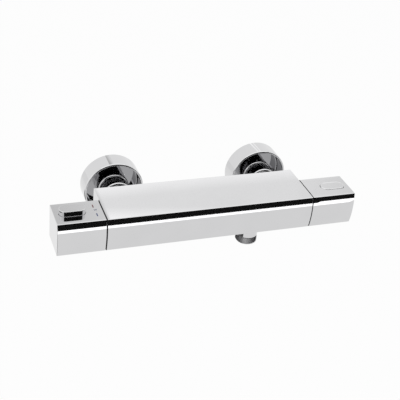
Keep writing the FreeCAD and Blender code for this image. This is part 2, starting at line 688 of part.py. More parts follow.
def button(side, rise, edge_round):
    """Pill-shaped push button with a hollow cap, keeping flange, spring post and stop pawl."""
    flange_top = INSIDE_TOP - PART_FIT
    flange_low = flange_top - FLANGE_THICKNESS
    cap_top = HALF_HEIGHT + rise
    cap = pill(BUTTON_LENGTH, BUTTON_WIDTH, flange_low, cap_top)
    rim = [edge for edge in cap.Edges if edge.BoundBox.ZMin > cap_top - edge_round]
    cap = cap.makeFillet(edge_round, rim)
    flange = pill(BUTTON_LENGTH + 2 * FLANGE_MARGIN, BUTTON_WIDTH + 2 * FLANGE_MARGIN,
                  flange_low, flange_top)
    hollow = pill(BUTTON_LENGTH - 2 * BUTTON_WALL, BUTTON_WIDTH - 2 * BUTTON_WALL,
                  flange_low - CLEAR_PAST, cap_top - BUTTON_WALL)
    post = rod(flange_low - BUTTON_TRAVEL, cap_top - BUTTON_WALL / 2, POST_RADIUS)
    seat = rod(flange_low, cap_top - BUTTON_WALL / 2, BUTTON_SPRING_RADIUS + BUTTON_SPRING_WIRE)
    piece = cap.fuse(flange).cut(hollow).fuse(post).fuse(seat)
    piece = placed(piece, button_place(side, 0))
    tongue_start = HALF_BODY + PAWL_TOOTH_START
    tongue_end = HALF_BODY + BUTTON_STATION - BUTTON_LENGTH / 2 + BUTTON_WALL / 2
    tongue = Part.makeBox(tongue_end - tongue_start, PAWL_WIDTH, PAWL_THICKNESS,
                          Vector(min(side * tongue_start, side * tongue_end),
                                 AXIS_Y - PAWL_WIDTH / 2, flange_top - PAWL_THICKNESS))
    tooth_end = HALF_BODY + PAWL_TOOTH_END
    tooth_low = flange_top - PAWL_THICKNESS - PAWL_TOOTH_DEPTH
    tooth = Part.makeBox(tooth_end - tongue_start, PAWL_WIDTH, PAWL_TOOTH_DEPTH,
                         Vector(min(side * tongue_start, side * tooth_end),
                                AXIS_Y - PAWL_WIDTH / 2, tooth_low))
    return piece.fuse([tongue, tooth]).removeSplitter()


def button_spring(side):
    """Spring that lifts a button back up."""
    top = INSIDE_TOP - PART_FIT - FLANGE_THICKNESS
    coil = spring(BUTTON_SPRING_RADIUS, BUTTON_SPRING_WIRE / 2, BUTTON_SPRING_TURNS,
                  WELL_FLOOR_HEIGHT, top)
    return placed(coil, button_place(side, 0))


# ---------------------------------------------------------------- stops, nut and clip at each end
def stop_ring(side, range_deg):
    """Ring with a long lug that stops the handle's pawl at both ends of its turn."""
    body = turned([(NUT_HEIGHT, STOP_HUB_RADIUS), (STOP_FLANGE_START, STOP_HUB_RADIUS),
                   (STOP_FLANGE_START, STOP_FLANGE_RADIUS), (STOP_FLANGE_END, STOP_FLANGE_RADIUS)],
                  [(NUT_HEIGHT, NECK_RADIUS), (STOP_FLANGE_END, NECK_RADIUS)])
    half_pawl = math.degrees(math.asin(PAWL_WIDTH / 2 / STOP_LUG_INNER)) + STOP_SLACK_DEG
    free_spread = range_deg[1] - range_deg[0] + 2 * half_pawl
    lug_spread = FULL_TURN - free_spread
    lug = sector(STOP_LUG_INNER, STOP_FLANGE_RADIUS, STOP_FLANGE_END, STOP_LUG_END, 0, lug_spread)
    piece = placed(body.fuse(lug), end_place(side))
    built_at = 0 if side == LEFT else FULL_TURN / 2    # the lug's angle from upright so far
    opposite_middle = (range_deg[0] + range_deg[1] + FULL_TURN) / 2
    return piece.rotate(Vector(0, AXIS_Y, 0), Vector(1, 0, 0), opposite_middle - built_at)


def spindle_clip(side):
    """Retaining ring that keeps a spindle in its neck."""
    clip = ring(NECK_END, NECK_END + CLIP_THICKNESS, CLIP_RADIUS, SPLINE_RADIUS - CLIP_GROOVE)
    return placed(clip, end_place(side))


def spindle_shaft(start):
    """Spindle's plain shaft with the clip groove, then its splined end with the screw hole."""
    groove_end = NECK_END + CLIP_THICKNESS
    shaft = turned([(start, SPLINE_RADIUS), (NECK_END, SPLINE_RADIUS),
                    (NECK_END, SPLINE_RADIUS - CLIP_GROOVE), (groove_end, SPLINE_RADIUS - CLIP_GROOVE),
                    (groove_end, SPLINE_RADIUS), (SPLINE_START, SPLINE_RADIUS)])
    shaft = shaft.fuse(splined(SPLINE_RADIUS, SPLINE_START, SPLINE_END))
    hole_start = SPLINE_END + CARRIER_HUB_CAP - SCREW_LENGTH
    return shaft.cut(rod(hole_start, SPLINE_END + CLEAR_PAST, SCREW_RADIUS))


# ---------------------------------------------------------------- thermostat cartridge
def retaining_nut():
    """Hexagon nut that screws the thermostat cartridge into the body."""
    nut = rod(-RETAINER_THREAD, 0, MOUTH_RADIUS).fuse(hexagon(NUT_CORNER_RADIUS, 0, NUT_HEIGHT))
    hole = rod(-RETAINER_THREAD - CLEAR_PAST, NUT_HEIGHT + CLEAR_PAST, NECK_RADIUS)
    return placed(nut.cut(hole), end_place(LEFT))


def keys(fit, start, end):
    """Two opposite bars from the axis outward: the nut's keys, or the keyways less a fit."""
    width = KEY_WIDTH - 2 * fit
    reach = HOUSING_BORE + KEY_DEPTH - fit
    return Part.makeBox(2 * reach, width, end - start, Vector(-reach, -width / 2, start))


def thermostat_housing():
    """Brass sleeve with hot and cold windows, seal grooves and a neck for the stop ring."""
    step = RETAINER_THREAD
    outer = [(-CAVITY_DEPTH, CAVITY_RADIUS), (-MOUTH_DEPTH, CAVITY_RADIUS), (-MOUTH_DEPTH, MOUTH_RADIUS),
             (-step, MOUTH_RADIUS), (-step, NECK_RADIUS), (NECK_END, NECK_RADIUS)]
    bore = [(-CAVITY_DEPTH, HOUSING_END_HOLE), (-CAVITY_DEPTH + HOUSING_END_WALL, HOUSING_END_HOLE),
            (-CAVITY_DEPTH + HOUSING_END_WALL, HOUSING_BORE), (-HOUSING_FLANGE_BORE_STEP, HOUSING_BORE),
            (-HOUSING_FLANGE_BORE_STEP, SPLINE_RADIUS + SHAFT_FIT), (NECK_END, SPLINE_RADIUS + SHAFT_FIT)]
    housing = turned(outer, bore)
    cuts = []
    for start, end in (HOT_RELIEF, COLD_RELIEF):
        cuts.append(ring(start, end, CAVITY_RADIUS + CLEAR_PAST, HOUSING_RELIEF))
    for station in SEAL_STATIONS:
        cuts.append(ring(station - SEAL_WIDTH / 2, station + SEAL_WIDTH / 2,
                         CAVITY_RADIUS + CLEAR_PAST, CAVITY_RADIUS - SEAL_DEPTH))
    for start, end in (HOT_WINDOW, COLD_WINDOW):
        cuts.append(cross_windows(WINDOW_WIDTH, start, end, CAVITY_RADIUS))
    cuts.append(keys(0, KEYWAY[0], KEYWAY[1]))
    for cut in cuts:
        housing = housing.cut(cut)
    return placed(housing, end_place(LEFT))


def thermostat_seals():
    """Three O-rings between the cartridge and the body."""
    rings = [seal_ring(station, CAVITY_RADIUS, SEAL_WIDTH, SEAL_DEPTH) for station in SEAL_STATIONS]
    return placed(Part.makeCompound(rings), end_place(LEFT))


def filter_screen(window):
    """Slotted strainer band round a row of windows."""
    start = window[0] - SCREEN_THICKNESS
    end = window[1] + SCREEN_THICKNESS
    band = ring(start, end, HOUSING_RELIEF + SCREEN_THICKNESS, HOUSING_RELIEF)
    slots = []
    for slot in range(SCREEN_SLOTS):
        bar = Part.makeBox(CAVITY_RADIUS, SCREEN_SLOT_WIDTH, window[1] - window[0] - SCREEN_SLOT_WIDTH,
                           Vector(0, -SCREEN_SLOT_WIDTH / 2, window[0] + SCREEN_SLOT_WIDTH / 2))
        bar.rotate(Vector(0, 0, 0), Vector(0, 0, 1), FULL_TURN * slot / SCREEN_SLOTS)
        slots.append(bar)
    return placed(band.cut(slots), end_place(LEFT))


def temperature_spindle():
    """Spindle whose threaded head drives the regulating nut when the handle turns."""
    head = rod(SPINDLE_HEAD_START, SPINDLE_HEAD_END, SPINDLE_HEAD_RADIUS)
    return placed(head.fuse(spindle_shaft(SPINDLE_HEAD_END)), end_place(LEFT))


def regulating_nut():
    """Nut that the spindle moves along the bar; its far side holds the overload spring."""
    outside = HOUSING_BORE - SHAFT_FIT
    nut = rod(CUP_SPAN[0], CUP_SPAN[1], outside).fuse(keys(SHAFT_FIT, CUP_SPAN[0], CUP_SPAN[1]))
    nut = nut.cut(rod(CUP_FLOOR[1], CUP_SPAN[1] + CLEAR_PAST, SPINDLE_HEAD_RADIUS + SHAFT_FIT))
    nut = nut.cut(rod(CUP_SPAN[0] - CLEAR_PAST, CUP_FLOOR[0], CUP_SPRING_BORE))
    return placed(nut, end_place(LEFT))


def overload_spring():
    """Spring that gives way when the wax pushes on with the slide already closed."""
    coil = spring(OVERLOAD_SPRING_RADIUS, OVERLOAD_SPRING_WIRE / 2, OVERLOAD_SPRING_TURNS,
                  WAX_HEAD[1], CUP_FLOOR[0])
    return placed(coil, end_place(LEFT))


def wax_element():
    """Thermostat element: sensing bulb, neck through the slide, pin and thrust head."""
    outer = [(WAX_END, WAX_RADIUS - WAX_NOSE), (WAX_END + WAX_NOSE, WAX_RADIUS), (SLIDE_WEB[0], WAX_RADIUS),
             (SLIDE_WEB[0], WAX_NECK_RADIUS), (WAX_NECK_END, WAX_NECK_RADIUS),
             (WAX_NECK_END, WAX_PIN_RADIUS), (WAX_HEAD[0], WAX_PIN_RADIUS),
             (WAX_HEAD[0], OVERLOAD_SPRING_RADIUS + OVERLOAD_SPRING_WIRE / 2),
             (WAX_HEAD[1], OVERLOAD_SPRING_RADIUS + OVERLOAD_SPRING_WIRE / 2)]
    return placed(turned(outer), end_place(LEFT))


def regulating_slide():
    """Sleeve that opens the hot windows as it closes the cold ones."""
    outside = HOUSING_BORE - SHAFT_FIT
    sleeve = ring(SLIDE_SPAN[0], SLIDE_SPAN[1], outside, outside - SLIDE_WALL)
    web = ring(SLIDE_WEB[0], SLIDE_WEB[1], outside - SLIDE_WALL, WAX_NECK_RADIUS)
    slide = sleeve.fuse(web)
    for port in range(SLIDE_PORTS):
        angle = 2 * math.pi * port / SLIDE_PORTS
        hole = Part.makeCylinder(SLIDE_PORT_RADIUS, SLIDE_WEB[1] - SLIDE_WEB[0] + 2 * CLEAR_PAST,
                                 Vector(SLIDE_PORT_CIRCLE * math.cos(angle),
                                        SLIDE_PORT_CIRCLE * math.sin(angle), SLIDE_WEB[0] - CLEAR_PAST))
        slide = slide.cut(hole)
    return placed(slide, end_place(LEFT))


def return_spring():
    """Spring that pushes the slide back when the wax cools."""
    coil = spring(RETURN_SPRING_RADIUS, RETURN_SPRING_WIRE / 2, RETURN_SPRING_TURNS,
                  -CAVITY_DEPTH + HOUSING_END_WALL, SLIDE_WEB[0])
    return placed(coil, end_place(LEFT))


# ---------------------------------------------------------------- flow headwork
def headwork_bonnet():
    """Brass bonnet: sleeve round the discs, side windows, thread, hexagon and neck."""
    outer = [(-FLOW_CAVITY_DEPTH, FLOW_SEAT_RADIUS), (FLOW_SEAT_STATION, FLOW_SEAT_RADIUS),
             (FLOW_SEAT_STATION, BONNET_SLEEVE_RADIUS),
             (BONNET_SHOULDER, BONNET_SLEEVE_RADIUS), (BONNET_SHOULDER, FLOW_CAVITY_RADIUS),
             (0, FLOW_CAVITY_RADIUS),
             (0, NECK_RADIUS), (NECK_END, NECK_RADIUS)]
    bore = [(-FLOW_CAVITY_DEPTH, BONNET_BORE), (BONNET_BORE_END, BONNET_BORE),
            (BONNET_BORE_END, SPLINE_RADIUS + SHAFT_FIT), (NECK_END, SPLINE_RADIUS + SHAFT_FIT)]
    bonnet = turned(outer, bore)
    neck_room = rod(-CLEAR_PAST, NUT_HEIGHT + CLEAR_PAST, NECK_RADIUS)
    bonnet = bonnet.fuse(hexagon(NUT_CORNER_RADIUS, 0, NUT_HEIGHT).cut(neck_room))
    bonnet = bonnet.cut(cross_windows(BONNET_WINDOW_WIDTH, BONNET_WINDOW[0], BONNET_WINDOW[1],
                                      FLOW_CAVITY_RADIUS))
    groove = ring(BONNET_SEAL_STATION - SEAL_WIDTH / 2, BONNET_SEAL_STATION + SEAL_WIDTH / 2,
                  FLOW_CAVITY_RADIUS + CLEAR_PAST, FLOW_CAVITY_RADIUS - SEAL_DEPTH)
    return placed(bonnet.cut(groove).removeSplitter(), end_place(RIGHT))


def headwork_seal():
    """O-ring between the bonnet and the body."""
    return placed(seal_ring(BONNET_SEAL_STATION, FLOW_CAVITY_RADIUS, SEAL_WIDTH, SEAL_DEPTH),
                  end_place(RIGHT))


def lip_seal():
    """Rubber seat ring under the fixed disc."""
    start = -FLOW_CAVITY_DEPTH
    return placed(ring(start, start + LIP_SEAL_THICKNESS, DISC_RADIUS, LIP_SEAL_BORE), end_place(RIGHT))


def ceramic_disc(start, thickness, turn_deg):
    """Ceramic disc with two opposite openings."""
    disc = rod(start, start + thickness, DISC_RADIUS)
    for opening in (0, 1):
        hole = sector(DISC_HOLE_INNER, DISC_HOLE_OUTER, start - CLEAR_PAST, start + thickness + CLEAR_PAST,
                      turn_deg + FULL_TURN / 2 * opening, DISC_HOLE_ANGLE)
        disc = disc.cut(hole)
    return disc


def fixed_disc():
    """Lower disc, held in the bonnet."""
    start = -FLOW_CAVITY_DEPTH + LIP_SEAL_THICKNESS
    return placed(ceramic_disc(start, FIXED_DISC_THICKNESS, 0), end_place(RIGHT))


def moving_disc_start():
    """Station of the face where the two discs meet."""
    return -FLOW_CAVITY_DEPTH + LIP_SEAL_THICKNESS + FIXED_DISC_THICKNESS


def moving_disc():
    """Upper disc, a quarter turn away from the lower one when the water is off."""
    start = moving_disc_start()
    disc = ceramic_disc(start, MOVING_DISC_THICKNESS, FULL_TURN / 4)
    top = start + MOVING_DISC_THICKNESS
    groove = Part.makeBox(2 * DISC_RADIUS, DRIVER_WIDTH + 2 * PART_FIT, DISC_GROOVE_DEPTH + CLEAR_PAST,
                          Vector(-DISC_RADIUS, -DRIVER_WIDTH / 2 - PART_FIT, top - DISC_GROOVE_DEPTH))
    return placed(disc.cut(groove), end_place(RIGHT))


def flow_spindle():
    """Spindle with a flat driver that turns the moving disc."""
    low = moving_disc_start() + MOVING_DISC_THICKNESS - DISC_GROOVE_DEPTH
    high = low + DISC_GROOVE_DEPTH + DRIVER_THICKNESS
    bar = Part.makeBox(2 * DISC_RADIUS, DRIVER_WIDTH, high - low,
                       Vector(-DISC_RADIUS, -DRIVER_WIDTH / 2, low))
    driver = rod(low, high, DISC_RADIUS - PART_FIT).common(bar)
    return placed(driver.fuse(spindle_shaft(high - PART_FIT)), end_place(RIGHT))


# ---------------------------------------------------------------- inlets
def rosette(side):
    """Cup-shaped wall cover, open towards the room."""
    edge = ROSETTE_EDGE
    inner = ROSETTE_RADIUS - ROSETTE_WALL
    hole = UNION_RADIUS + PART_FIT
    gasket_reach = ROSETTE_RADIUS - GASKET_MARGIN
    outer = [(0, ROSETTE_RADIUS), (ROSETTE_DEPTH - edge, ROSETTE_RADIUS),
             (ROSETTE_DEPTH, ROSETTE_RADIUS - edge)]
    bore = [(0, gasket_reach), (GASKET_THICKNESS, gasket_reach), (GASKET_THICKNESS, hole),
            (GASKET_THICKNESS + ROSETTE_FLOOR, hole), (GASKET_THICKNESS + ROSETTE_FLOOR, inner),
            (ROSETTE_DEPTH - edge, inner), (ROSETTE_DEPTH, inner + edge)]
    return placed(turned(outer, bore), inlet_place(side))


def rosette_gasket(side):
    """Foam ring between the rosette and the tiles."""
    reach = ROSETTE_RADIUS - GASKET_MARGIN
    return placed(ring(0, GASKET_THICKNESS, reach, reach - GASKET_WIDTH), inlet_place(side))


def s_union(side):
    """Eccentric connector: round body, thread for the union nut, offset thread for the wall."""
    outer = [(UNION_BACK, UNION_RADIUS), (UNION_FRONT - UNION_CHAMFER, UNION_RADIUS),
             (UNION_FRONT, UNION_RADIUS - UNION_CHAMFER), (UNION_FRONT, UNION_THREAD_RADIUS),
             (UNION_THREAD_END, UNION_THREAD_RADIUS)]
    union = turned(outer)
    offset = Vector(0, -WALL_THREAD_OFFSET, 0)
    stub = Part.makeCylinder(WALL_THREAD_RADIUS, WALL_THREAD_LENGTH,
                             offset + Vector(0, 0, UNION_BACK - WALL_THREAD_LENGTH))
    union = union.fuse(stub)
    union = union.cut(rod(UNION_BORE_BACK, UNION_THREAD_END + CLEAR_PAST, UNION_BORE))
    bore_start = UNION_BACK - WALL_THREAD_LENGTH - CLEAR_PAST
    bore = Part.makeCylinder(WALL_THREAD_BORE, UNION_BORE_BACK + CLEAR_PAST - bore_start,
                             offset + Vector(0, 0, bore_start))
    return placed(union.cut(bore).removeSplitter(), inlet_place(side))


def filter_washer(side):
    """Sealing washer with a domed sieve, between connector and tailpiece."""
    rim = ring(UNION_THREAD_END, TAIL_START, TAIL_FLANGE_RADIUS, SCREEN_DOME_RADIUS)
    wall = SCREEN_DOME_WALL
    tip = SCREEN_DOME_RADIUS / 2
    dome = turned([(UNION_THREAD_END - SCREEN_DOME_HEIGHT, tip + wall),
                   (UNION_THREAD_END, SCREEN_DOME_RADIUS + wall), (TAIL_START, SCREEN_DOME_RADIUS + wall)],
                  [(UNION_THREAD_END - SCREEN_DOME_HEIGHT, tip),
                   (UNION_THREAD_END, SCREEN_DOME_RADIUS), (TAIL_START, SCREEN_DOME_RADIUS)])
    cap_station = UNION_THREAD_END - SCREEN_DOME_HEIGHT
    cap = rod(cap_station - wall, cap_station, tip + wall)
    return placed(rim.fuse([dome, cap]).removeSplitter(), inlet_place(side))


def tailpiece(side):
    """Flanged nipple that the union nut pulls against the connector."""
    flange_end = TAIL_START + TAIL_FLANGE_THICKNESS
    thread_end = BODY_BACK_STATION + TAIL_THREAD_LENGTH
    outer = [(TAIL_START, TAIL_FLANGE_RADIUS), (flange_end, TAIL_FLANGE_RADIUS),
             (flange_end, TAIL_NECK_RADIUS), (BODY_BACK_STATION, TAIL_NECK_RADIUS),
             (BODY_BACK_STATION, TAIL_THREAD_RADIUS), (thread_end, TAIL_THREAD_RADIUS)]
    stop = CHECK_START + CHECK_LENGTH
    bore = [(TAIL_START, TAIL_BORE), (stop, TAIL_BORE), (stop, HOT_DUCT_RADIUS),
            (thread_end, HOT_DUCT_RADIUS)]
    return placed(turned(outer, bore), inlet_place(side))


def union_nut(side):
    """Round-bodied union nut with a lip that bears on the tailpiece's flange."""
    thread_bore = UNION_THREAD_RADIUS + PART_FIT
    flange_end = TAIL_START + TAIL_FLANGE_THICKNESS
    outer = [(NUT_START, NUT_RADIUS - NUT_EDGE), (NUT_START + NUT_EDGE, NUT_RADIUS),
             (NUT_END - NUT_EDGE, NUT_RADIUS), (NUT_END, NUT_RADIUS - NUT_EDGE)]
    lip_bore = TAIL_NECK_RADIUS + PART_FIT
    bore = [(NUT_START, thread_bore), (flange_end, thread_bore), (flange_end, lip_bore),
            (NUT_END, lip_bore)]
    return placed(turned(outer, bore), inlet_place(side))


def check_body(side):
    """Check valve cartridge with its seat and a three-armed guide."""
    throat_end = CHECK_START + CHECK_THROAT_LENGTH
    end = CHECK_START + CHECK_LENGTH
    shell = turned([(CHECK_START, CHECK_RADIUS), (end, CHECK_RADIUS)],
                   [(CHECK_START, CHECK_THROAT), (throat_end, CHECK_THROAT), (throat_end, CHECK_CHAMBER),
                    (end, CHECK_CHAMBER)])
    spider = rod(end - CHECK_SPIDER, end, CHECK_SPIDER_HUB)
    for arm in range(CHECK_SPIDER_ARMS):
        bar = Part.makeBox(CHECK_CHAMBER + CLEAR_PAST, CHECK_SPIDER_ARM, CHECK_SPIDER,
                           Vector(0, -CHECK_SPIDER_ARM / 2, end - CHECK_SPIDER))
        bar.rotate(Vector(0, 0, 0), Vector(0, 0, 1), FULL_TURN * arm / CHECK_SPIDER_ARMS)
        spider = spider.fuse(bar)
    guide = rod(end - CHECK_SPIDER - CLEAR_PAST, end + CLEAR_PAST, POPPET_STEM + SHAFT_FIT)
    return placed(shell.fuse(spider).cut(guide).removeSplitter(), inlet_place(side))


def check_poppet(side):
    """Poppet resting on the check valve's seat, its stem in the guide."""
    seat = CHECK_START + CHECK_THROAT_LENGTH
    back = seat + POPPET_THICKNESS
    end = CHECK_START + CHECK_LENGTH
    nose = CHECK_THROAT - SHAFT_FIT
    outer = [(seat - POPPET_THICKNESS, nose / 2), (seat, nose), (seat, POPPET_RADIUS),
             (back, POPPET_RADIUS), (back, POPPET_STEM), (end, POPPET_STEM)]
    return placed(turned(outer), inlet_place(side))


def check_spring(side):
    """Light spring that holds the poppet on its seat."""
    coil = spring(CHECK_SPRING_RADIUS, CHECK_SPRING_WIRE / 2, CHECK_SPRING_TURNS,
                  CHECK_START + CHECK_THROAT_LENGTH + POPPET_THICKNESS,
                  CHECK_START + CHECK_LENGTH - CHECK_SPIDER)
    return placed(coil, inlet_place(side))


# ---------------------------------------------------------------- hose outlet
def hose_outlet():
    """Threaded nipple for the shower hose: plain collar, groove, then the thread's outline."""
    groove_start = OUTLET_COLLAR_LENGTH
    groove_end = groove_start + OUTLET_GROOVE_LENGTH
    groove_radius = OUTLET_THREAD_RADIUS - OUTLET_GROOVE_DEPTH
    outer = [(-OUTLET_ROOT_LENGTH, OUTLET_ROOT_RADIUS), (0, OUTLET_ROOT_RADIUS),
             (0, OUTLET_THREAD_RADIUS), (groove_start, OUTLET_THREAD_RADIUS),
             (groove_start, groove_radius), (groove_end, groove_radius),
             (groove_end, OUTLET_THREAD_RADIUS), (OUTLET_LENGTH - OUTLET_CHAMFER, OUTLET_THREAD_RADIUS),
             (OUTLET_LENGTH, OUTLET_THREAD_RADIUS - OUTLET_CHAMFER)]
    bore = [(-OUTLET_ROOT_LENGTH, OUTLET_BORE), (OUTLET_LENGTH, OUTLET_BORE)]
    nipple = turned(outer, bore)
    seal_middle = -OUTLET_ROOT_LENGTH / 2
    groove = ring(seal_middle - OUTLET_SEAL_WIDTH / 2, seal_middle + OUTLET_SEAL_WIDTH / 2,
                  OUTLET_ROOT_RADIUS + CLEAR_PAST, OUTLET_ROOT_RADIUS - OUTLET_SEAL_DEPTH)
    return placed(nipple.cut(groove), outlet_place())


def outlet_seal():
    """O-ring on the nipple's root."""
    return placed(seal_ring(-OUTLET_ROOT_LENGTH / 2, OUTLET_ROOT_RADIUS, OUTLET_SEAL_WIDTH,
                            OUTLET_SEAL_DEPTH), outlet_place())


# ---------------------------------------------------------------- assembly
def all_parts():
    """Every piece of the valve by its node name."""
    parts = {
        "valve_body": valve_body(),
        "temperature_glide_plate": glide_plate(LEFT),
        "temperature_handle": handle_shell(LEFT, SAFETY_SLOT_CHAMFER),
        "temperature_carrier": carrier(LEFT),
        "temperature_carrier_screw": carrier_screw(LEFT),
        "temperature_grub_screw": grub_screw(LEFT),
        "safety_button": button(LEFT, SAFETY_BUTTON_RISE, SAFETY_BUTTON_ROUND),
        "safety_button_spring": button_spring(LEFT),
        "temperature_stop_ring": stop_ring(LEFT, TEMPERATURE_RANGE_DEG),
        "thermostat_clip": spindle_clip(LEFT),
        "thermostat_retaining_nut": retaining_nut(),
        "thermostat_housing": thermostat_housing(),
        "thermostat_o_rings": thermostat_seals(),
        "hot_filter_screen": filter_screen(HOT_WINDOW),
        "cold_filter_screen": filter_screen(COLD_WINDOW),
        "temperature_spindle": temperature_spindle(),
        "regulating_nut": regulating_nut(),
        "overload_spring": overload_spring(),
        "wax_element": wax_element(),
        "regulating_slide": regulating_slide(),
        "return_spring": return_spring(),
        "flow_glide_plate": glide_plate(RIGHT),
        "flow_handle": handle_shell(RIGHT, ECO_SLOT_CHAMFER),
        "flow_carrier": carrier(RIGHT),
        "flow_carrier_screw": carrier_screw(RIGHT),
        "flow_grub_screw": grub_screw(RIGHT),
        "eco_button": button(RIGHT, ECO_BUTTON_RISE, ECO_BUTTON_ROUND),
        "eco_button_spring": button_spring(RIGHT),
        "flow_stop_ring": stop_ring(RIGHT, FLOW_RANGE_DEG),
        "headwork_clip": spindle_clip(RIGHT),
        "headwork_bonnet": headwork_bonnet(),
        "headwork_o_ring": headwork_seal(),
        "headwork_lip_seal": lip_seal(),
        "fixed_ceramic_disc": fixed_disc(),
        "moving_ceramic_disc": moving_disc(),
        "flow_spindle": flow_spindle(),
        "hose_outlet": hose_outlet(),
        "outlet_o_ring": outlet_seal(),
    }
    for name, side in (("hot", LEFT), ("cold", RIGHT)):
        parts[name + "_rosette"] = rosette(side)
        parts[name + "_rosette_gasket"] = rosette_gasket(side)
        parts[name + "_s_union"] = s_union(side)
        parts[name + "_filter_washer"] = filter_washer(side)
        parts[name + "_tailpiece"] = tailpiece(side)
        parts[name + "_union_nut"] = union_nut(side)
        parts[name + "_check_valve"] = check_body(side)
        parts[name + "_check_poppet"] = check_poppet(side)
        parts[name + "_check_spring"] = check_spring(side)
    return parts


def main():
    """Write one STEP file for each piece."""
    os.makedirs("parts", exist_ok=True)
    for name, shape in all_parts().items():
        if not shape.isValid():
            print("not valid:", name)
        shape.exportStep(os.path.join("parts", name + ".step"))
        print(name, len(shape.Solids), round(shape.Volume, 1))


main()
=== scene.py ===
"""Thermostatic shower valve: the finished look of a chromed bar mixer with square handles.

Lengths are millimetres in the valve's own frame: X along the bar, the temperature handle at -X,
+Y into the wall, +Z up, the origin on the wall plane midway between the inlets at the height of
the bar's axis. A finished mesh is scaled to metres once. Springs and the studio are in metres.
"""
import json
import logging
import math
from dataclasses import dataclass
from enum import Enum
from typing import Callable, Iterable, NamedTuple, Sequence

import bmesh
import bpy
from bmesh.types import BMEdge, BMFace, BMVert
from bpy.types import Material, Node, NodeSocket, NodeTree, Object, World
from mathutils import Matrix, Vector

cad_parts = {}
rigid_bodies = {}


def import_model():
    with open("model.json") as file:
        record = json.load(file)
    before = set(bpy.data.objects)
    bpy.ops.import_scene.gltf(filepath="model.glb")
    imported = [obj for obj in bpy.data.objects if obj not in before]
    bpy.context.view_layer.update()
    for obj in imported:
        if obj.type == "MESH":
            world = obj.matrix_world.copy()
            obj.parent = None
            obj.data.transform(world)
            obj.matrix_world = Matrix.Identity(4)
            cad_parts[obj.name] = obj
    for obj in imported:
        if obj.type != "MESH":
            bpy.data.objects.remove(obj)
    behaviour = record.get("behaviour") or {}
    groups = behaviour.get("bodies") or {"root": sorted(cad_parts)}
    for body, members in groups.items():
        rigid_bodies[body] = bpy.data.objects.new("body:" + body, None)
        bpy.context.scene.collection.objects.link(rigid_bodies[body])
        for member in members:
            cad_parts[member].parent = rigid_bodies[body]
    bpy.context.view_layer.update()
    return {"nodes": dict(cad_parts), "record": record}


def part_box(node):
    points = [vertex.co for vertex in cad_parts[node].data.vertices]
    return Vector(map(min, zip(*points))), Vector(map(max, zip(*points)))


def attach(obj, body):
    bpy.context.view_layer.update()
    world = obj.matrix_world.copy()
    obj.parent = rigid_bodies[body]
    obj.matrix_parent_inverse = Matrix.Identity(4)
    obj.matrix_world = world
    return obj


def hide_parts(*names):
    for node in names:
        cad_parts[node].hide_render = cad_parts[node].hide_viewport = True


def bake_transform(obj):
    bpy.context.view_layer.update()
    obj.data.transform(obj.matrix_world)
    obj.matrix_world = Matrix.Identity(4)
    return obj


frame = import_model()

LOG = logging.getLogger("shower_valve")
METRES = 0.001

MERGE = 1e-4            # vertices closer than this are one
NEAR = 1e-3             # heights and radii closer than this are the same
SLIVER = 1e-5           # shorter edges are dissolved
RING_REACH = 0.1        # how far a ring may lie from the place where it is looked for
SHARP_DEG = 40.0        # a sharper edge than this is rounded
OVERSHOOT = 1.0         # a cutter sticks out this far past the face that it opens
UP = Vector((0, 0, 1))

Point = tuple[float, float]
Span = tuple[float, float]
Place = tuple[float, float, float]
Colour = tuple[float, float, float, float]
WHITE: Colour = (1.0, 1.0, 1.0, 1.0)


# ---------------------------------------------------------------- colours and nodes
def linear(hex_colour: str) -> Colour:
    """Turn an sRGB hex colour into a linear RGBA value.

    Args:
        hex_colour: Six hex digits with a leading hash.

    Returns:
        Linear red, green, blue and an alpha of one.
    """
    channels = [int(hex_colour[k:k + 2], 16) / 255 for k in (1, 3, 5)]
    values = [c / 12.92 if c <= 0.04045 else ((c + 0.055) / 1.055) ** 2.4 for c in channels]
    return values[0], values[1], values[2], 1.0


def add_node(tree: NodeTree, kind: str, settings: dict | None = None,
             links: dict | None = None) -> Node:
    """Add one node, with its settings and its incoming links.

    Args:
        tree: Node tree that gets the node.
        kind: Blender's name of the node type.
        settings: Values by attribute name, or by an input socket's name or number.
        links: Output sockets by the name or number of the input socket that each feeds.

    Returns:
        The new node.
    """
    node = tree.nodes.new(kind)
    for name, value in (settings or {}).items():
        if isinstance(name, int) or name in node.inputs:
            node.inputs[name].default_value = value
        else:
            setattr(node, name, value)
    for name, socket in (links or {}).items():
        tree.links.new(socket, node.inputs[name])
    return node


def blank_tree(owner: Material | World) -> NodeTree:
    """Empty the node tree of a material or world and return it."""
    owner.use_nodes = True
    owner.node_tree.nodes.clear()
    return owner.node_tree


def show(tree: NodeTree, shader: Node, owner: str = "Material") -> None:
    """Send a shader to the output of its material or world."""
    add_node(tree, "ShaderNodeOutput" + owner, {}, {"Surface": shader.outputs[0]})


def combined(tree: NodeTree, operation: str, first: NodeSocket, second: NodeSocket) -> NodeSocket:
    """Combine two values by one operation and return the socket with the result."""
    return add_node(tree, "ShaderNodeMath", {"operation": operation}, {0: first, 1: second}).outputs[0]


def ranged(tree: NodeTree, value: NodeSocket, to: Span, given: Span = (0.0, 1.0)) -> NodeSocket:
    """Map the given span of a value onto another, and return the socket with the result."""
    ends = {"From Min": given[0], "From Max": given[1], "To Min": to[0], "To Max": to[1]}
    return add_node(tree, "ShaderNodeMapRange", ends, {"Value": value}).outputs["Result"]


def seen_directly(tree: NodeTree, path: Node) -> NodeSocket:
    """Socket that is one for rays from the camera, a mirror or glass, and nought for cast light."""
    seen = combined(tree, "MAXIMUM", path.outputs["Is Camera Ray"], path.outputs["Is Glossy Ray"])
    return combined(tree, "MAXIMUM", seen, path.outputs["Is Transmission Ray"])


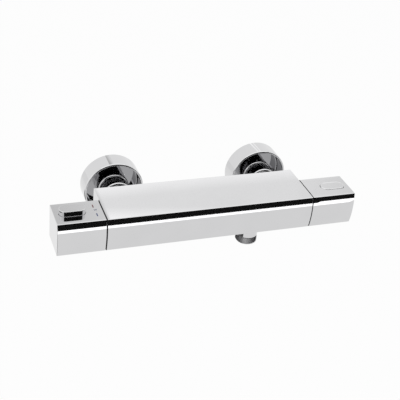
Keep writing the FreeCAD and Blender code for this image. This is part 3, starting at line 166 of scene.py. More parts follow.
# ---------------------------------------------------------------- finishes
@dataclass(frozen=True)
class Finish:
    """A real material and how its surface was made.

    Attributes:
        name: Material name, after the real one.
        light: sRGB hex colour of the lighter patches.
        dark: sRGB hex colour of the darker patches.
        metallic: One for a bare or plated metal, nought for the rest.
        roughness: Lowest and highest roughness over the surface.
        patch_mm: Size of a patch of colour and roughness.
        grain_mm: Size of a bump in the surface.
        grain_depth_mm: Height of such a bump.
        ior: Index of refraction, left at the default for a metal.
    """

    name: str
    light: str
    dark: str
    metallic: float
    roughness: Span
    patch_mm: float
    grain_mm: float
    grain_depth_mm: float
    ior: float = 1.5

    def material(self) -> Material:
        """Return the material of this finish, made at the first call."""
        return bpy.data.materials.get(self.name) or self._build()

    def _build(self) -> Material:
        """Build the node tree: patches of colour and roughness, and a fine grain as bump."""
        made = bpy.data.materials.new(self.name)
        made.diffuse_color = linear(self.light)
        tree = blank_tree(made)
        place = add_node(tree, "ShaderNodeTexCoord").outputs["Object"]
        patches, grain = (
            add_node(tree, "ShaderNodeTexNoise", {"Scale": 1 / (size * METRES), "Detail": detail},
                     {"Vector": place}).outputs["Fac"]
            for size, detail in ((self.patch_mm, 3.0), (self.grain_mm, 2.0)))
        first_colour, second_colour, mixed = 6, 7, 2
        colour = add_node(tree, "ShaderNodeMix",
                          {"data_type": "RGBA", first_colour: linear(self.light),
                           second_colour: linear(self.dark)}, {"Factor": patches})
        bump = add_node(tree, "ShaderNodeBump",
                        {"Distance": self.grain_depth_mm * METRES, "Strength": 1.0},
                        {"Height": grain})
        show(tree, add_node(tree, "ShaderNodeBsdfPrincipled",
                            {"Metallic": self.metallic, "IOR": self.ior},
                            {"Base Color": colour.outputs[mixed], "Normal": bump.outputs["Normal"],
                             "Roughness": ranged(tree, patches, self.roughness)}))
        return made


# Bright chrome over polished brass: neutral and an almost perfect mirror.
CHROME = Finish("polished_chrome_plate", "#D8D8D9", "#D2D2D3", 1.0, (0.015, 0.035),
                30.0, 12.0, 0.0004)
# Chrome deep in the rosettes' cups, half as bright as painted shade for the recess, and a little rougher.
RECESS_SHADE_CHROME = Finish("thin_chrome_plate_in_recess", "#A2A2A4", "#98989A", 1.0, (0.03, 0.06),
                       30.0, 12.0, 0.0004)
# Chrome on the outlet's groove and cut thread: satin, and its colour darker than on a flat face as
# painted shade in the groove and between the flanks.
SHADED_THREAD_CHROME = Finish("chrome_on_cut_thread_with_painted_shade", "#B2B2B3", "#9C9C9D", 1.0, (0.3, 0.42),
                       3.0, 0.4, 0.01)
# Acetal glide plates: dull black, seen only as the dark seams.
BLACK_ACETAL = Finish("moulded_black_acetal", "#151516", "#0E0E0F", 0.0, (0.45, 0.6), 6.0, 0.4, 0.01)
# Natural acetal carriers, stop rings and slides: waxy off-white.
WHITE_ACETAL = Finish("moulded_natural_acetal", "#ECEBE4", "#E2E0D7", 0.0, (0.35, 0.5),
                      8.0, 0.5, 0.01, 1.48)
# Turned dezincification-resistant brass of the cartridges: warm yellow with a soft shine.
BRASS = Finish("turned_brass", "#D9B566", "#C79E4D", 1.0, (0.18, 0.32), 9.0, 0.35, 0.006)
# Stainless spring wire, screws, clips and strainers: drawn and slightly grey.
STEEL = Finish("drawn_stainless_steel", "#BFC0C0", "#A9AAAB", 1.0, (0.18, 0.3), 5.0, 0.25, 0.004)
# Nitrile rubber seals and washers: dull black with a faint bloom.
RUBBER = Finish("moulded_nitrile_rubber", "#232323", "#191919", 0.0, (0.6, 0.8), 4.0, 0.3, 0.015)
# Sintered and lapped alumina discs: ivory white with a silk sheen.
CERAMIC = Finish("lapped_alumina_ceramic", "#F1EEE6", "#E8E4D8", 0.0, (0.12, 0.22),
                 6.0, 0.15, 0.001, 1.76)
# Baked enamel of the marks on the temperature handle: deep red, dull blue and slate.
RED_ENAMEL = Finish("baked_red_enamel", "#701C28", "#601521", 0.0, (0.25, 0.35), 1.0, 0.2, 0.002)
BLUE_ENAMEL = Finish("baked_blue_enamel", "#35477E", "#2C3D70", 0.0, (0.25, 0.35), 1.0, 0.2, 0.002)
GREY_ENAMEL = Finish("baked_grey_enamel", "#56607E", "#4B5472", 0.0, (0.25, 0.35), 1.0, 0.2, 0.002)

SLOT_FINISHES = {"chrome": CHROME, "black_plastic": BLACK_ACETAL, "white_plastic": WHITE_ACETAL,
                 "brass": BRASS, "stainless_steel": STEEL, "rubber": RUBBER, "ceramic": CERAMIC}


class Body(Enum):
    """Moving bodies of the valve, by the name that the frame gives them."""

    VALVE = "valve"
    TEMPERATURE = "temperature_control"
    SAFETY = "safety_release"
    FLOW = "flow_control"
    ECO = "eco_release"


class Side(Enum):
    """The two ends of the bar: the sign of X."""

    LEFT = -1
    RIGHT = 1


# ---------------------------------------------------------------- mesh work
def of_kind(items: Iterable, kind: type) -> list:
    """Pick the vertices, or the edges, out of what a bmesh operator returns."""
    return [item for item in items if isinstance(item, kind)]


def fold_deg(edge: BMEdge) -> float:
    """Angle between an edge's two faces, in degrees."""
    return math.degrees(edge.calc_face_angle(0))


class Workpiece:
    """A bmesh in millimetres that becomes one finished object of the valve."""

    def __init__(self) -> None:
        """Start with an empty mesh."""
        self.mesh = bmesh.new()

    def chain(self, points: Iterable[Sequence[float]], closed: bool = False) -> list[BMVert]:
        """Add vertices joined one after the other by edges.

        Args:
            points: Places of the vertices.
            closed: Whether the last is joined to the first as well.

        Returns:
            The new vertices in order.
        """
        made = [bmesh.ops.create_vert(self.mesh, co=Vector(point))["vert"][0] for point in points]
        for first, second in zip(made, made[1:]):
            self.join(first, second)
        if closed:
            self.join(made[-1], made[0])
        return made

    def arc(self, start: BMVert, centre: Vector, axis: Vector, angle: float, steps: int) -> BMVert:
        """Draw an arc from a vertex.

        Args:
            start: Vertex where the arc begins.
            centre: Centre of the arc.
            axis: Axis of the turn.
            angle: Turn in radians.
            steps: Number of edges.

        Returns:
            The vertex where the arc ends.
        """
        spun = bmesh.ops.spin(self.mesh, geom=[start], cent=centre, axis=axis, dvec=Vector(),
                              angle=angle, steps=steps, use_duplicate=False)
        return of_kind(spun["geom_last"], BMVert)[0]

    def join(self, first: BMVert, second: BMVert) -> None:
        """Put an edge between two vertices."""
        bmesh.ops.contextual_create(self.mesh, geom=[first, second])

    def fill(self) -> list[BMFace]:
        """Fill the outline drawn so far and return its face."""
        return bmesh.ops.contextual_create(self.mesh, geom=self.mesh.edges[:])["faces"]

    def extrude_fill(self, along: Sequence[float]) -> None:
        """Fill the outline drawn so far and draw it out into a closed solid."""
        drawn = bmesh.ops.extrude_face_region(self.mesh, geom=self.fill(), use_keep_orig=True)
        bmesh.ops.translate(self.mesh, verts=of_kind(drawn["geom"], BMVert), vec=Vector(along))
        self.settle()

    def settle(self) -> None:
        """Merge doubles and point every face outward."""
        bmesh.ops.remove_doubles(self.mesh, verts=self.mesh.verts[:], dist=MERGE)
        bmesh.ops.dissolve_degenerate(self.mesh, edges=self.mesh.edges[:], dist=SLIVER)
        bmesh.ops.recalc_face_normals(self.mesh, faces=self.mesh.faces[:])

    def bevel(self, test: Callable[[BMEdge], bool], width: float, segments: int) -> None:
        """Round the edges that pass a test.

        Args:
            test: Says which edges are rounded.
            width: Width of the rounding from each edge.
            segments: Steps across the rounding.
        """
        edges = [edge for edge in self.mesh.edges if edge.is_manifold and test(edge)]
        bmesh.ops.bevel(self.mesh, geom=edges, offset=width, offset_type="OFFSET", affect="EDGES",
                        segments=segments, profile=0.5, material=-1, clamp_overlap=True)

    def round_rings(self, width: float, segments: int, radius: float | None = None,
                    station: float | None = None) -> None:
        """Round the sharp circles of a turned piece: those of one radius, one station or both."""
        def chosen(edge: BMEdge) -> bool:
            """Say whether the edge is part of such a circle."""
            first, second = (vert.co for vert in edge.verts)
            reach = math.hypot(first.x, first.y)
            return (abs(first.z - second.z) < MERGE
                    and abs(reach - math.hypot(second.x, second.y)) < NEAR
                    and (radius is None or abs(reach - radius) <= RING_REACH)
                    and (station is None or abs(first.z - station) <= RING_REACH)
                    and fold_deg(edge) > SHARP_DEG)
        self.bevel(chosen, width, segments)

    def round_end(self, from_middle: float, width: float, segments: int) -> None:
        """Round the outline of a bar's end, which lies this far from X = 0 on either side."""
        self.bevel(lambda edge: all(abs(abs(vert.co.x) - from_middle) < MERGE for vert in edge.verts),
                   width, segments)

    def round_along(self, y: float, heights: Sequence[float], width: float, segments: int = 5) -> None:
        """Round the edges along X at one depth and the given heights."""
        def chosen(edge: BMEdge) -> bool:
            """Say whether the edge runs along X at such a place."""
            first, second = (vert.co for vert in edge.verts)
            return ((first - second).yz.length < MERGE and abs(first.y - y) < NEAR
                    and any(abs(first.z - z) < NEAR for z in heights))
        self.bevel(chosen, width, segments)

    def place(self, matrix: Matrix) -> "Workpiece":
        """Carry the mesh to its place and return the workpiece."""
        bmesh.ops.transform(self.mesh, matrix=matrix, verts=self.mesh.verts[:])
        return self

    def take(self, other: "Workpiece") -> "Workpiece":
        """Add another workpiece's mesh to this one and return this one."""
        spare = bpy.data.meshes.new("spare")
        other.mesh.to_mesh(spare)
        self.mesh.from_mesh(spare)
        bpy.data.meshes.remove(spare)
        return self

    def to_object(self, name: str) -> Object:
        """Write the mesh to a new object, still in millimetres."""
        data = bpy.data.meshes.new(name)
        self.mesh.to_mesh(data)
        made = bpy.data.objects.new(name, data)
        bpy.context.scene.collection.objects.link(made)
        return made

    def combine(self, other: "Workpiece", operation: str = "UNION") -> "Workpiece":
        """Join another solid to this one, or cut it out, and return this one."""
        ours, theirs = self.to_object("ours"), other.to_object("theirs")
        tool = ours.modifiers.new("tool", "BOOLEAN")
        tool.object, tool.operation, tool.solver = theirs, operation, "EXACT"
        graph = bpy.context.evaluated_depsgraph_get()
        result = bpy.data.meshes.new_from_object(ours.evaluated_get(graph))
        self.mesh.clear()
        self.mesh.from_mesh(result)
        spare = (ours.data, theirs.data, result)
        for item in (ours, theirs):
            bpy.data.objects.remove(item)
        for data in spare:
            bpy.data.meshes.remove(data)
        return self

    def cut(self, other: "Workpiece") -> "Workpiece":
        """Cut another solid out of this one."""
        return self.combine(other, "DIFFERENCE")

    def finish(self, name: str, nodes: Iterable[str] = (), body: Body = Body.VALVE,
               slot: str = "chrome", coat: Finish | None = None) -> Object:
        """Turn the workpiece into a finished piece of the valve.

        Args:
            name: Name of the piece.
            nodes: Frame nodes that it stands for.
            body: Moving body that carries it.
            slot: Material slot of the record.
            coat: Its finish, if not the slot's own.

        Returns:
            The finished object, at the origin with its place in its mesh.
        """
        bmesh.ops.remove_doubles(self.mesh, verts=self.mesh.verts[:], dist=MERGE)
        bmesh.ops.scale(self.mesh, vec=Vector((METRES,) * 3), verts=self.mesh.verts[:])
        made = self.to_object(name)
        self.mesh.free()
        smooth_by_angle(made)
        made.data.materials.append((coat or SLOT_FINISHES[slot]).material())
        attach(made, body.value)
        if nodes:
            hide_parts(*nodes)
        LOG.info("%s: %d faces on %s", name, len(made.data.polygons), body.value)
        return made


def smooth_by_angle(made: Object, angle_deg: float = 32.0) -> None:
    """Shade a piece smooth across its roundings and keep its flats flat.

    Args:
        made: The object to shade.
        angle_deg: Sharpest angle that is still shaded smooth.
    """
    made.data.polygons.foreach_set("use_smooth", [True] * len(made.data.polygons))
    made.data.set_sharp_from_angle(angle=math.radians(angle_deg))
    weighted = made.modifiers.new("flat_faces_stay_flat", "WEIGHTED_NORMAL")
    weighted.mode, weighted.weight, weighted.keep_sharp = "FACE_AREA", 100, True
    graph = bpy.context.evaluated_depsgraph_get()
    data = bpy.data.meshes.new_from_object(made.evaluated_get(graph))
    made.modifiers.clear()
    spare = made.data
    made.data = data
    bpy.data.meshes.remove(spare)
    data.name = made.name


def along(origin: Sequence[float], direction: Sequence[float]) -> Matrix:
    """Matrix that carries a piece built along +Z to an origin and a direction."""
    return Matrix.Translation(origin) @ UP.rotation_difference(Vector(direction)).to_matrix().to_4x4()


def turned(profile: Sequence[Point], steps: int = 128) -> Workpiece:
    """Turn a closed outline of (station, radius) corners about Z, as on a lathe."""
    piece = Workpiece()
    piece.chain(((radius, 0, station) for station, radius in profile),
                closed=min(radius for _, radius in profile) > 0)
    bmesh.ops.spin(piece.mesh, geom=piece.mesh.verts[:] + piece.mesh.edges[:], cent=Vector(), axis=UP,
                   dvec=Vector(), angle=math.tau, steps=steps, use_merge=True, use_duplicate=False)
    piece.settle()
    return piece


def rod(start: float, end: float, radius: float, steps: int = 96) -> Workpiece:
    """Plain closed cylinder between two stations, for cutting and joining."""
    return turned([(start, 0.0), (start, radius), (end, radius), (end, 0.0)], steps)


class Bore(NamedTuple):
    """A round hole."""

    radius: float
    depth: float

    def cutter(self) -> Workpiece:
        """Rod that cuts the hole down from its mouth at station nought."""
        return rod(-self.depth, OVERSHOOT, self.radius)


def pill(size: Span, start: float, end: float, steps: int = 40) -> Workpiece:
    """Slot-shaped block with round ends along X.

    Args:
        size: Length over the round ends, and width.
        start: Lower face.
        end: Upper face.
        steps: Edges in each round end.

    Returns:
        The closed block.
    """
    piece = Workpiece()
    radius = size[1] / 2
    starts, ends = [], []
    for sign in (1, -1):
        centre = Vector((sign * (size[0] / 2 - radius), 0, start))
        starts += piece.chain([centre - Vector((0, sign * radius, 0))])
        ends.append(piece.arc(starts[-1], centre, UP, math.pi, steps))
    piece.join(ends[0], starts[1])
    piece.join(ends[1], starts[0])
    piece.extrude_fill((0, 0, end - start))
    return piece


# ---------------------------------------------------------------- shared sizes
@dataclass(frozen=True)
class BarSection:
    """Sizes of the bar, shared by the body, the handles and the buttons."""

    half: float = 16.5              # half the height
    front_y: float = -91.0          # top front edge
    back_y: float = -57.5           # a handle's back
    shelf_y: float = -37.0          # the shelf's back
    shelf_low: float = 0.5          # height of the shelf's lower edge
    bow: float = 2.0                # how far the front stands out between its edges
    bow_steps: int = 36
    front_round: float = 0.6
    back_round: float = 0.8
    half_body: float = 100.0
    handle_wall: float = 2.4
    button_station: float = 28.3    # from the body's end face

    @property
    def axis_y(self) -> float:
        """Y of the bar's axis."""
        return (self.front_y + self.back_y) / 2

    def block(self, start_x: float, end_x: float, back: Sequence[Point], inset: float = 0.0) -> Workpiece:
        """Draw the section and extrude it along X.

        Args:
            start_x: X of the first end.
            end_x: X of the second end.
            back: Corners behind the front, from the top down, as (y, z).
            inset: Distance that the front is moved inward.

        Returns:
            The closed block.
        """
        bow_radius = (self.half ** 2 + self.bow ** 2) / (2 * self.bow)
        reach, edge = bow_radius - inset, self.half - inset
        centre = Vector((start_x, self.front_y - self.bow + bow_radius, 0))
        swing = math.asin(edge / reach)
        piece = Workpiece()
        first = piece.chain([(start_x, centre.y - reach * math.cos(swing), -edge)])[0]
        top = piece.arc(first, centre, Vector((-1, 0, 0)), 2 * swing, self.bow_steps)
        corners = piece.chain((start_x, y, z) for y, z in back)
        piece.join(top, corners[0])
        piece.join(corners[-1], first)
        piece.extrude_fill((end_x - start_x, 0, 0))
        return piece

    def handle_block(self, side: Side, start: float, end: float, inset: float = 0.0) -> Workpiece:
        """Block with a handle's outline between two stations from the body's end face."""
        back, edge = self.back_y - inset, self.half - inset
        return self.block(side.value * (self.half_body + start), side.value * (self.half_body + end),
                          [(back, edge), (back, -edge)], inset)

    def end_matrix(self, side: Side) -> Matrix:
        """Bar axis at one end face of the body, pointing outward."""
        return along((side.value * self.half_body, self.axis_y, 0), (side.value, 0, 0))

    def button_matrix(self, side: Side) -> Matrix:
        """Centre of a handle's button, at the height of the bar's axis."""
        return Matrix.Translation((side.value * (self.half_body + self.button_station), self.axis_y, 0))

    def below(self, x: float) -> Matrix:
        """Downward axis that leaves the bar's underside at one X."""
        return along((x, self.axis_y, -self.half), (0, 0, -1))


SECTION = BarSection()
INLET_HALF = 75.0


def inlet_matrix(side: Side) -> Matrix:
    """Inlet axis on the wall plane, pointing into the room."""
    return along((side.value * INLET_HALF, 0, 0), (0, -1, 0))


@dataclass(frozen=True)
class PipeThread:
    """G 1/2 pipe thread: one helical ridge with a rounded crest, cut square at both ends."""

    crest: float = 10.478
    pitch: float = 1.814
    depth: float = 1.1
    foot_share: float = 0.47        # half the ridge's width at the root, as a share of the pitch
    tip_share: float = 0.07         # the same at the crest
    crest_round: float = 0.1
    sunk: float = 0.4               # how deep the ridge reaches into its core
    steps: int = 72

    @property
    def root(self) -> float:
        """Radius at the bottom of the thread."""
        return self.crest - self.depth

    def ridge(self, start: float, end: float) -> Workpiece:
        """Wind the ridge between two stations, to lie on a core of the root radius."""
        foot, tip = self.foot_share * self.pitch, self.tip_share * self.pitch
        flank = [(self.root - self.sunk, foot), (self.root, foot),
                 (self.crest - self.crest_round, tip + self.crest_round),
                 (self.crest, tip - self.crest_round / 2)]
        outline = [(radius, -z) for radius, z in flank] + flank[::-1]
        piece = Workpiece()
        piece.chain(((radius, 0, start - self.pitch + z) for radius, z in outline), closed=True)
        piece.fill()
        turns = math.ceil((end - start) / self.pitch) + 2
        bmesh.ops.spin(piece.mesh, geom=piece.mesh.faces[:], cent=Vector(), axis=UP,
                       dvec=UP * (self.pitch / self.steps), angle=math.tau * turns,
                       steps=self.steps * turns, use_duplicate=True)
        piece.settle()
        for station, direction in ((start, -UP), (end, UP)):
            whole = piece.mesh.verts[:] + piece.mesh.edges[:] + piece.mesh.faces[:]
            cut = bmesh.ops.bisect_plane(piece.mesh, geom=whole, plane_co=UP * station,
                                         plane_no=direction, clear_outer=True, dist=SLIVER)
            bmesh.ops.holes_fill(piece.mesh, edges=of_kind(cut["geom_cut"], BMEdge), sides=0)
        bmesh.ops.recalc_face_normals(piece.mesh, faces=piece.mesh.faces[:])
        return piece


THREAD = PipeThread()


# ---------------------------------------------------------------- body
@dataclass(frozen=True)
class ValveBody:
    """The chromed bar between the handles, with its shelf, bosses and bores."""

    root_round: float = 7.0
    end_round: float = 0.15
    boss_radius: float = 14.5
    end_bores: tuple[tuple[Bore, ...], ...] = ((Bore(12.5, 54.0), Bore(13.0, 8.0)),
                                               (Bore(8.5, 38.0), Bore(11.0, 31.0)))
    tail_bore: Bore = Bore(10.4, 11.0)
    outlet_bore: Bore = Bore(9.0, 8.6)
    outlet_x: float = 43.5

    def build(self) -> Object:
        """Model the body and return it."""
        s = SECTION
        body = s.block(-s.half_body, s.half_body,
                       [(s.shelf_y, s.half), (s.shelf_y, s.shelf_low), (s.back_y, -s.half)])
        body.round_along(s.front_y, (s.half, -s.half), s.front_round)
        body.round_along(s.shelf_y, (s.half, s.shelf_low), s.back_round)
        slope = math.atan2(s.shelf_low + s.half, s.shelf_y - s.back_y)
        body.round_along(s.back_y, (-s.half,), self.root_round * math.tan(slope / 2), 8)
        body.round_end(s.half_body, self.end_round, 2)
        for side in Side:
            body.combine(rod(-s.shelf_y, -s.axis_y, self.boss_radius).place(inlet_matrix(side)))
        for cutter in self.cutters():
            body.cut(cutter)
        return body.finish("body_casting", ["valve_body"])

    def cutters(self) -> list[Workpiece]:
        """Solids of the bores that open outward: both ends, both tailpieces and the outlet."""
        back = -SECTION.shelf_y
        ends = [bore.cutter().place(SECTION.end_matrix(side))
                for side, bores in zip(Side, self.end_bores) for bore in bores]
        tails = [rod(back - OVERSHOOT, back + self.tail_bore.depth, self.tail_bore.radius)
                 .place(inlet_matrix(side)) for side in Side]
        return ends + tails + [self.outlet_bore.cutter().place(SECTION.below(self.outlet_x))]


# ---------------------------------------------------------------- handles
@dataclass(frozen=True)
class Handle:
    """Square chromed sleeve with a closed end, a button slot and a grub-screw hole."""

    side: Side
    body: Body
    node: str
    seam: float                     # gap to the body, where the glide plate shows
    length: float                   # from the seam to the closed end
    slot_chamfer: float = 0.2
    slot: Span = (24.3, 12.3)
    cap: float = 2.6
    end_round: float = 0.4
    seam_round: float = 0.12
    grub_station: float = 34.0
    grub_radius: float = 2.5

    def build(self) -> Object:
        """Model the sleeve and return it."""
        s = SECTION
        end = self.seam + self.length
        shell = s.handle_block(self.side, self.seam, end)
        shell.round_along(s.front_y, (s.half, -s.half), s.front_round)
        shell.round_along(s.back_y, (s.half, -s.half), s.back_round)
        shell.round_end(s.half_body + end, self.end_round, 4)
        shell.round_end(s.half_body + self.seam, self.seam_round, 2)
        shell.cut(s.handle_block(self.side, self.seam - OVERSHOOT, end - self.cap, s.handle_wall))
        shell.cut(self.slot_cutter())
        hole = rod(-s.handle_wall - OVERSHOOT, OVERSHOOT, self.grub_radius, 48)
        shell.cut(hole.place(s.below(self.side.value * (s.half_body + self.grub_station))))
        return shell.finish(self.node + "_sleeve", [self.node], self.body)

    def slot_cutter(self) -> Workpiece:
        """Slot with a small chamfer at its rim."""
        s = SECTION
        top = s.half + OVERSHOOT
        cutter = pill(self.slot, s.half - s.handle_wall - OVERSHOOT, top)
        flare = pill(self.slot, s.half - self.slot_chamfer, top)
        straight = (self.slot[0] - self.slot[1]) / 2
        spread = 2 * (self.slot_chamfer + OVERSHOOT) / self.slot[1]
        for vert in [vert for vert in flare.mesh.verts if vert.co.z > s.half]:
            anchor = Vector((max(-straight, min(straight, vert.co.x)), 0, vert.co.z))
            bmesh.ops.translate(flare.mesh, verts=[vert], vec=(vert.co - anchor) * spread)
        return cutter.combine(flare).place(s.button_matrix(self.side))


@dataclass(frozen=True)
class GlidePlate:
    """Black plate between the body and a handle, which shows as the dark seam."""

    side: Side
    node: str
    inset: float = 0.3
    stations: Span = (0.03, 0.6)
    hole: float = 14.0

    def build(self) -> Object:
        """Model the plate and return it."""
        plate = SECTION.handle_block(self.side, *self.stations, self.inset)
        hole = rod(-OVERSHOOT, self.stations[1] + OVERSHOOT, self.hole)
        plate.cut(hole.place(SECTION.end_matrix(self.side)))
        return plate.finish(self.node + "_ring", [self.node], slot="black_plastic")


@dataclass(frozen=True)
class PushButton:
    """Pill-shaped button with a keeping flange, a hollow underside and a stop pawl."""

    side: Side
    body: Body
    node: str
    rise: float                         # above the handle
    edge_round: float
    size: Span = (24.0, 12.0)
    flange_margin: float = 1.2
    flange_thickness: float = 1.2
    fit: float = 0.1
    wall: float = 1.4
    stem: Span = (1.6, 2.5)             # radius, and length below the flange
    spring_seat: float = 3.05
    stem_steps: int = 40
    pawl_reach: float = 11.3            # where it begins, from the button's centre
    pawl_stations: Span = (10.8, 12.3)  # the tooth's faces, from the body's end face
    pawl_depths: Span = (1.4, 2.6)      # of the tongue and the tooth, from the flange's top
    pawl_width: float = 5.0

    def build(self) -> Object:
        """Model the button and return it."""
        flange_top = SECTION.half - SECTION.handle_wall - self.fit
        flange_low = flange_top - self.flange_thickness
        top = SECTION.half + self.rise
        cap = pill(self.size, flange_low, top)
        cap.bevel(lambda edge: all(vert.co.z > top - NEAR for vert in edge.verts)
                  and fold_deg(edge) > SHARP_DEG, self.edge_round, 6)
        cap.combine(pill(self.grown(self.flange_margin), flange_low, flange_top))
        cap.cut(pill(self.grown(-self.wall), flange_low - OVERSHOOT, top - self.wall))
        roof = top - self.wall / 2
        cap.take(rod(flange_low - self.stem[1], roof, self.stem[0], self.stem_steps))
        cap.take(rod(flange_low, roof, self.spring_seat, self.stem_steps))
        cap.take(self.pawl(flange_top)).place(SECTION.button_matrix(self.side))
        return cap.finish(self.node + "_cap", [self.node], self.body)

    def grown(self, margin: float) -> Span:
        """Size of the button's outline moved outward by a margin."""
        return self.size[0] + 2 * margin, self.size[1] + 2 * margin

    def pawl(self, flange_top: float) -> Workpiece:
        """Tongue and tooth that meet the stop ring, in the button's own place."""
        near, sign = self.pawl_reach, -self.side.value
        far, tooth = (SECTION.button_station - station for station in self.pawl_stations)
        thin, deep = (flange_top - depth for depth in self.pawl_depths)
        outline = [(near, flange_top), (far, flange_top), (far, deep), (tooth, deep), (tooth, thin),
                   (near, thin)]
        piece = Workpiece()
        piece.chain(((sign * x, -self.pawl_width / 2, z) for x, z in outline), closed=True)
        piece.extrude_fill((0, self.pawl_width, 0))
        return piece


@dataclass(frozen=True)
class HandleMarks:
    """Enamelled marks on top of the temperature handle: red, the number 38, blue."""

    proud: float = 0.03
    stroke_sunk: float = 0.2
    stroke_width: float = 1.0
    red: Place = (-108.1, -69.6, -64.6)         # X, and the two ends in Y
    blue: Place = (-107.5, -83.9, -79.1)
    number_place: Point = (-107.4, -73.5)
    number_sunk: float = 0.1
    font_size: float = 3.08

    def build(self) -> list[Object]:
        """Model the marks and return them."""
        return [self.stroke("red_mark", RED_ENAMEL, *self.red),
                self.stroke("blue_mark", BLUE_ENAMEL, *self.blue), self.number()]

    def stroke(self, name: str, coat: Finish, x: float, low: float, high: float) -> Object:
        """Slim round-ended stroke that runs across the bar."""
        piece = pill((high - low, self.stroke_width), -self.stroke_sunk, self.proud, 12)
        centre = Matrix.Translation((x, (low + high) / 2, SECTION.half))
        piece.place(centre @ Matrix.Rotation(math.pi / 2, 4, "Z"))
        return piece.finish(name, body=Body.TEMPERATURE, coat=coat)

    def number(self) -> Object:
        """The number 38, drawn from a plain font and laid into the handle's top."""
        text = bpy.data.curves.new("number", "FONT")
        text.body, text.size = "38", self.font_size
        text.align_x, text.align_y = "CENTER", "CENTER"
        text.extrude = self.number_sunk + self.proud / 2
        drawn = bpy.data.objects.new("number", text)
        bpy.context.scene.collection.objects.link(drawn)
        graph = bpy.context.evaluated_depsgraph_get()
        flat = bpy.data.meshes.new_from_object(drawn.evaluated_get(graph))
        bpy.data.objects.remove(drawn)
        bpy.data.curves.remove(text)
        piece = Workpiece()
        piece.mesh.from_mesh(flat)
        bpy.data.meshes.remove(flat)
        bmesh.ops.remove_doubles(piece.mesh, verts=piece.mesh.verts[:], dist=MERGE)
        bmesh.ops.recalc_face_normals(piece.mesh, faces=piece.mesh.faces[:])
        height = SECTION.half + self.proud / 2 - self.number_sunk
        piece.place(Matrix.Translation((*self.number_place, height)))
        return piece.finish("number_38_mark", body=Body.TEMPERATURE, coat=GREY_ENAMEL)


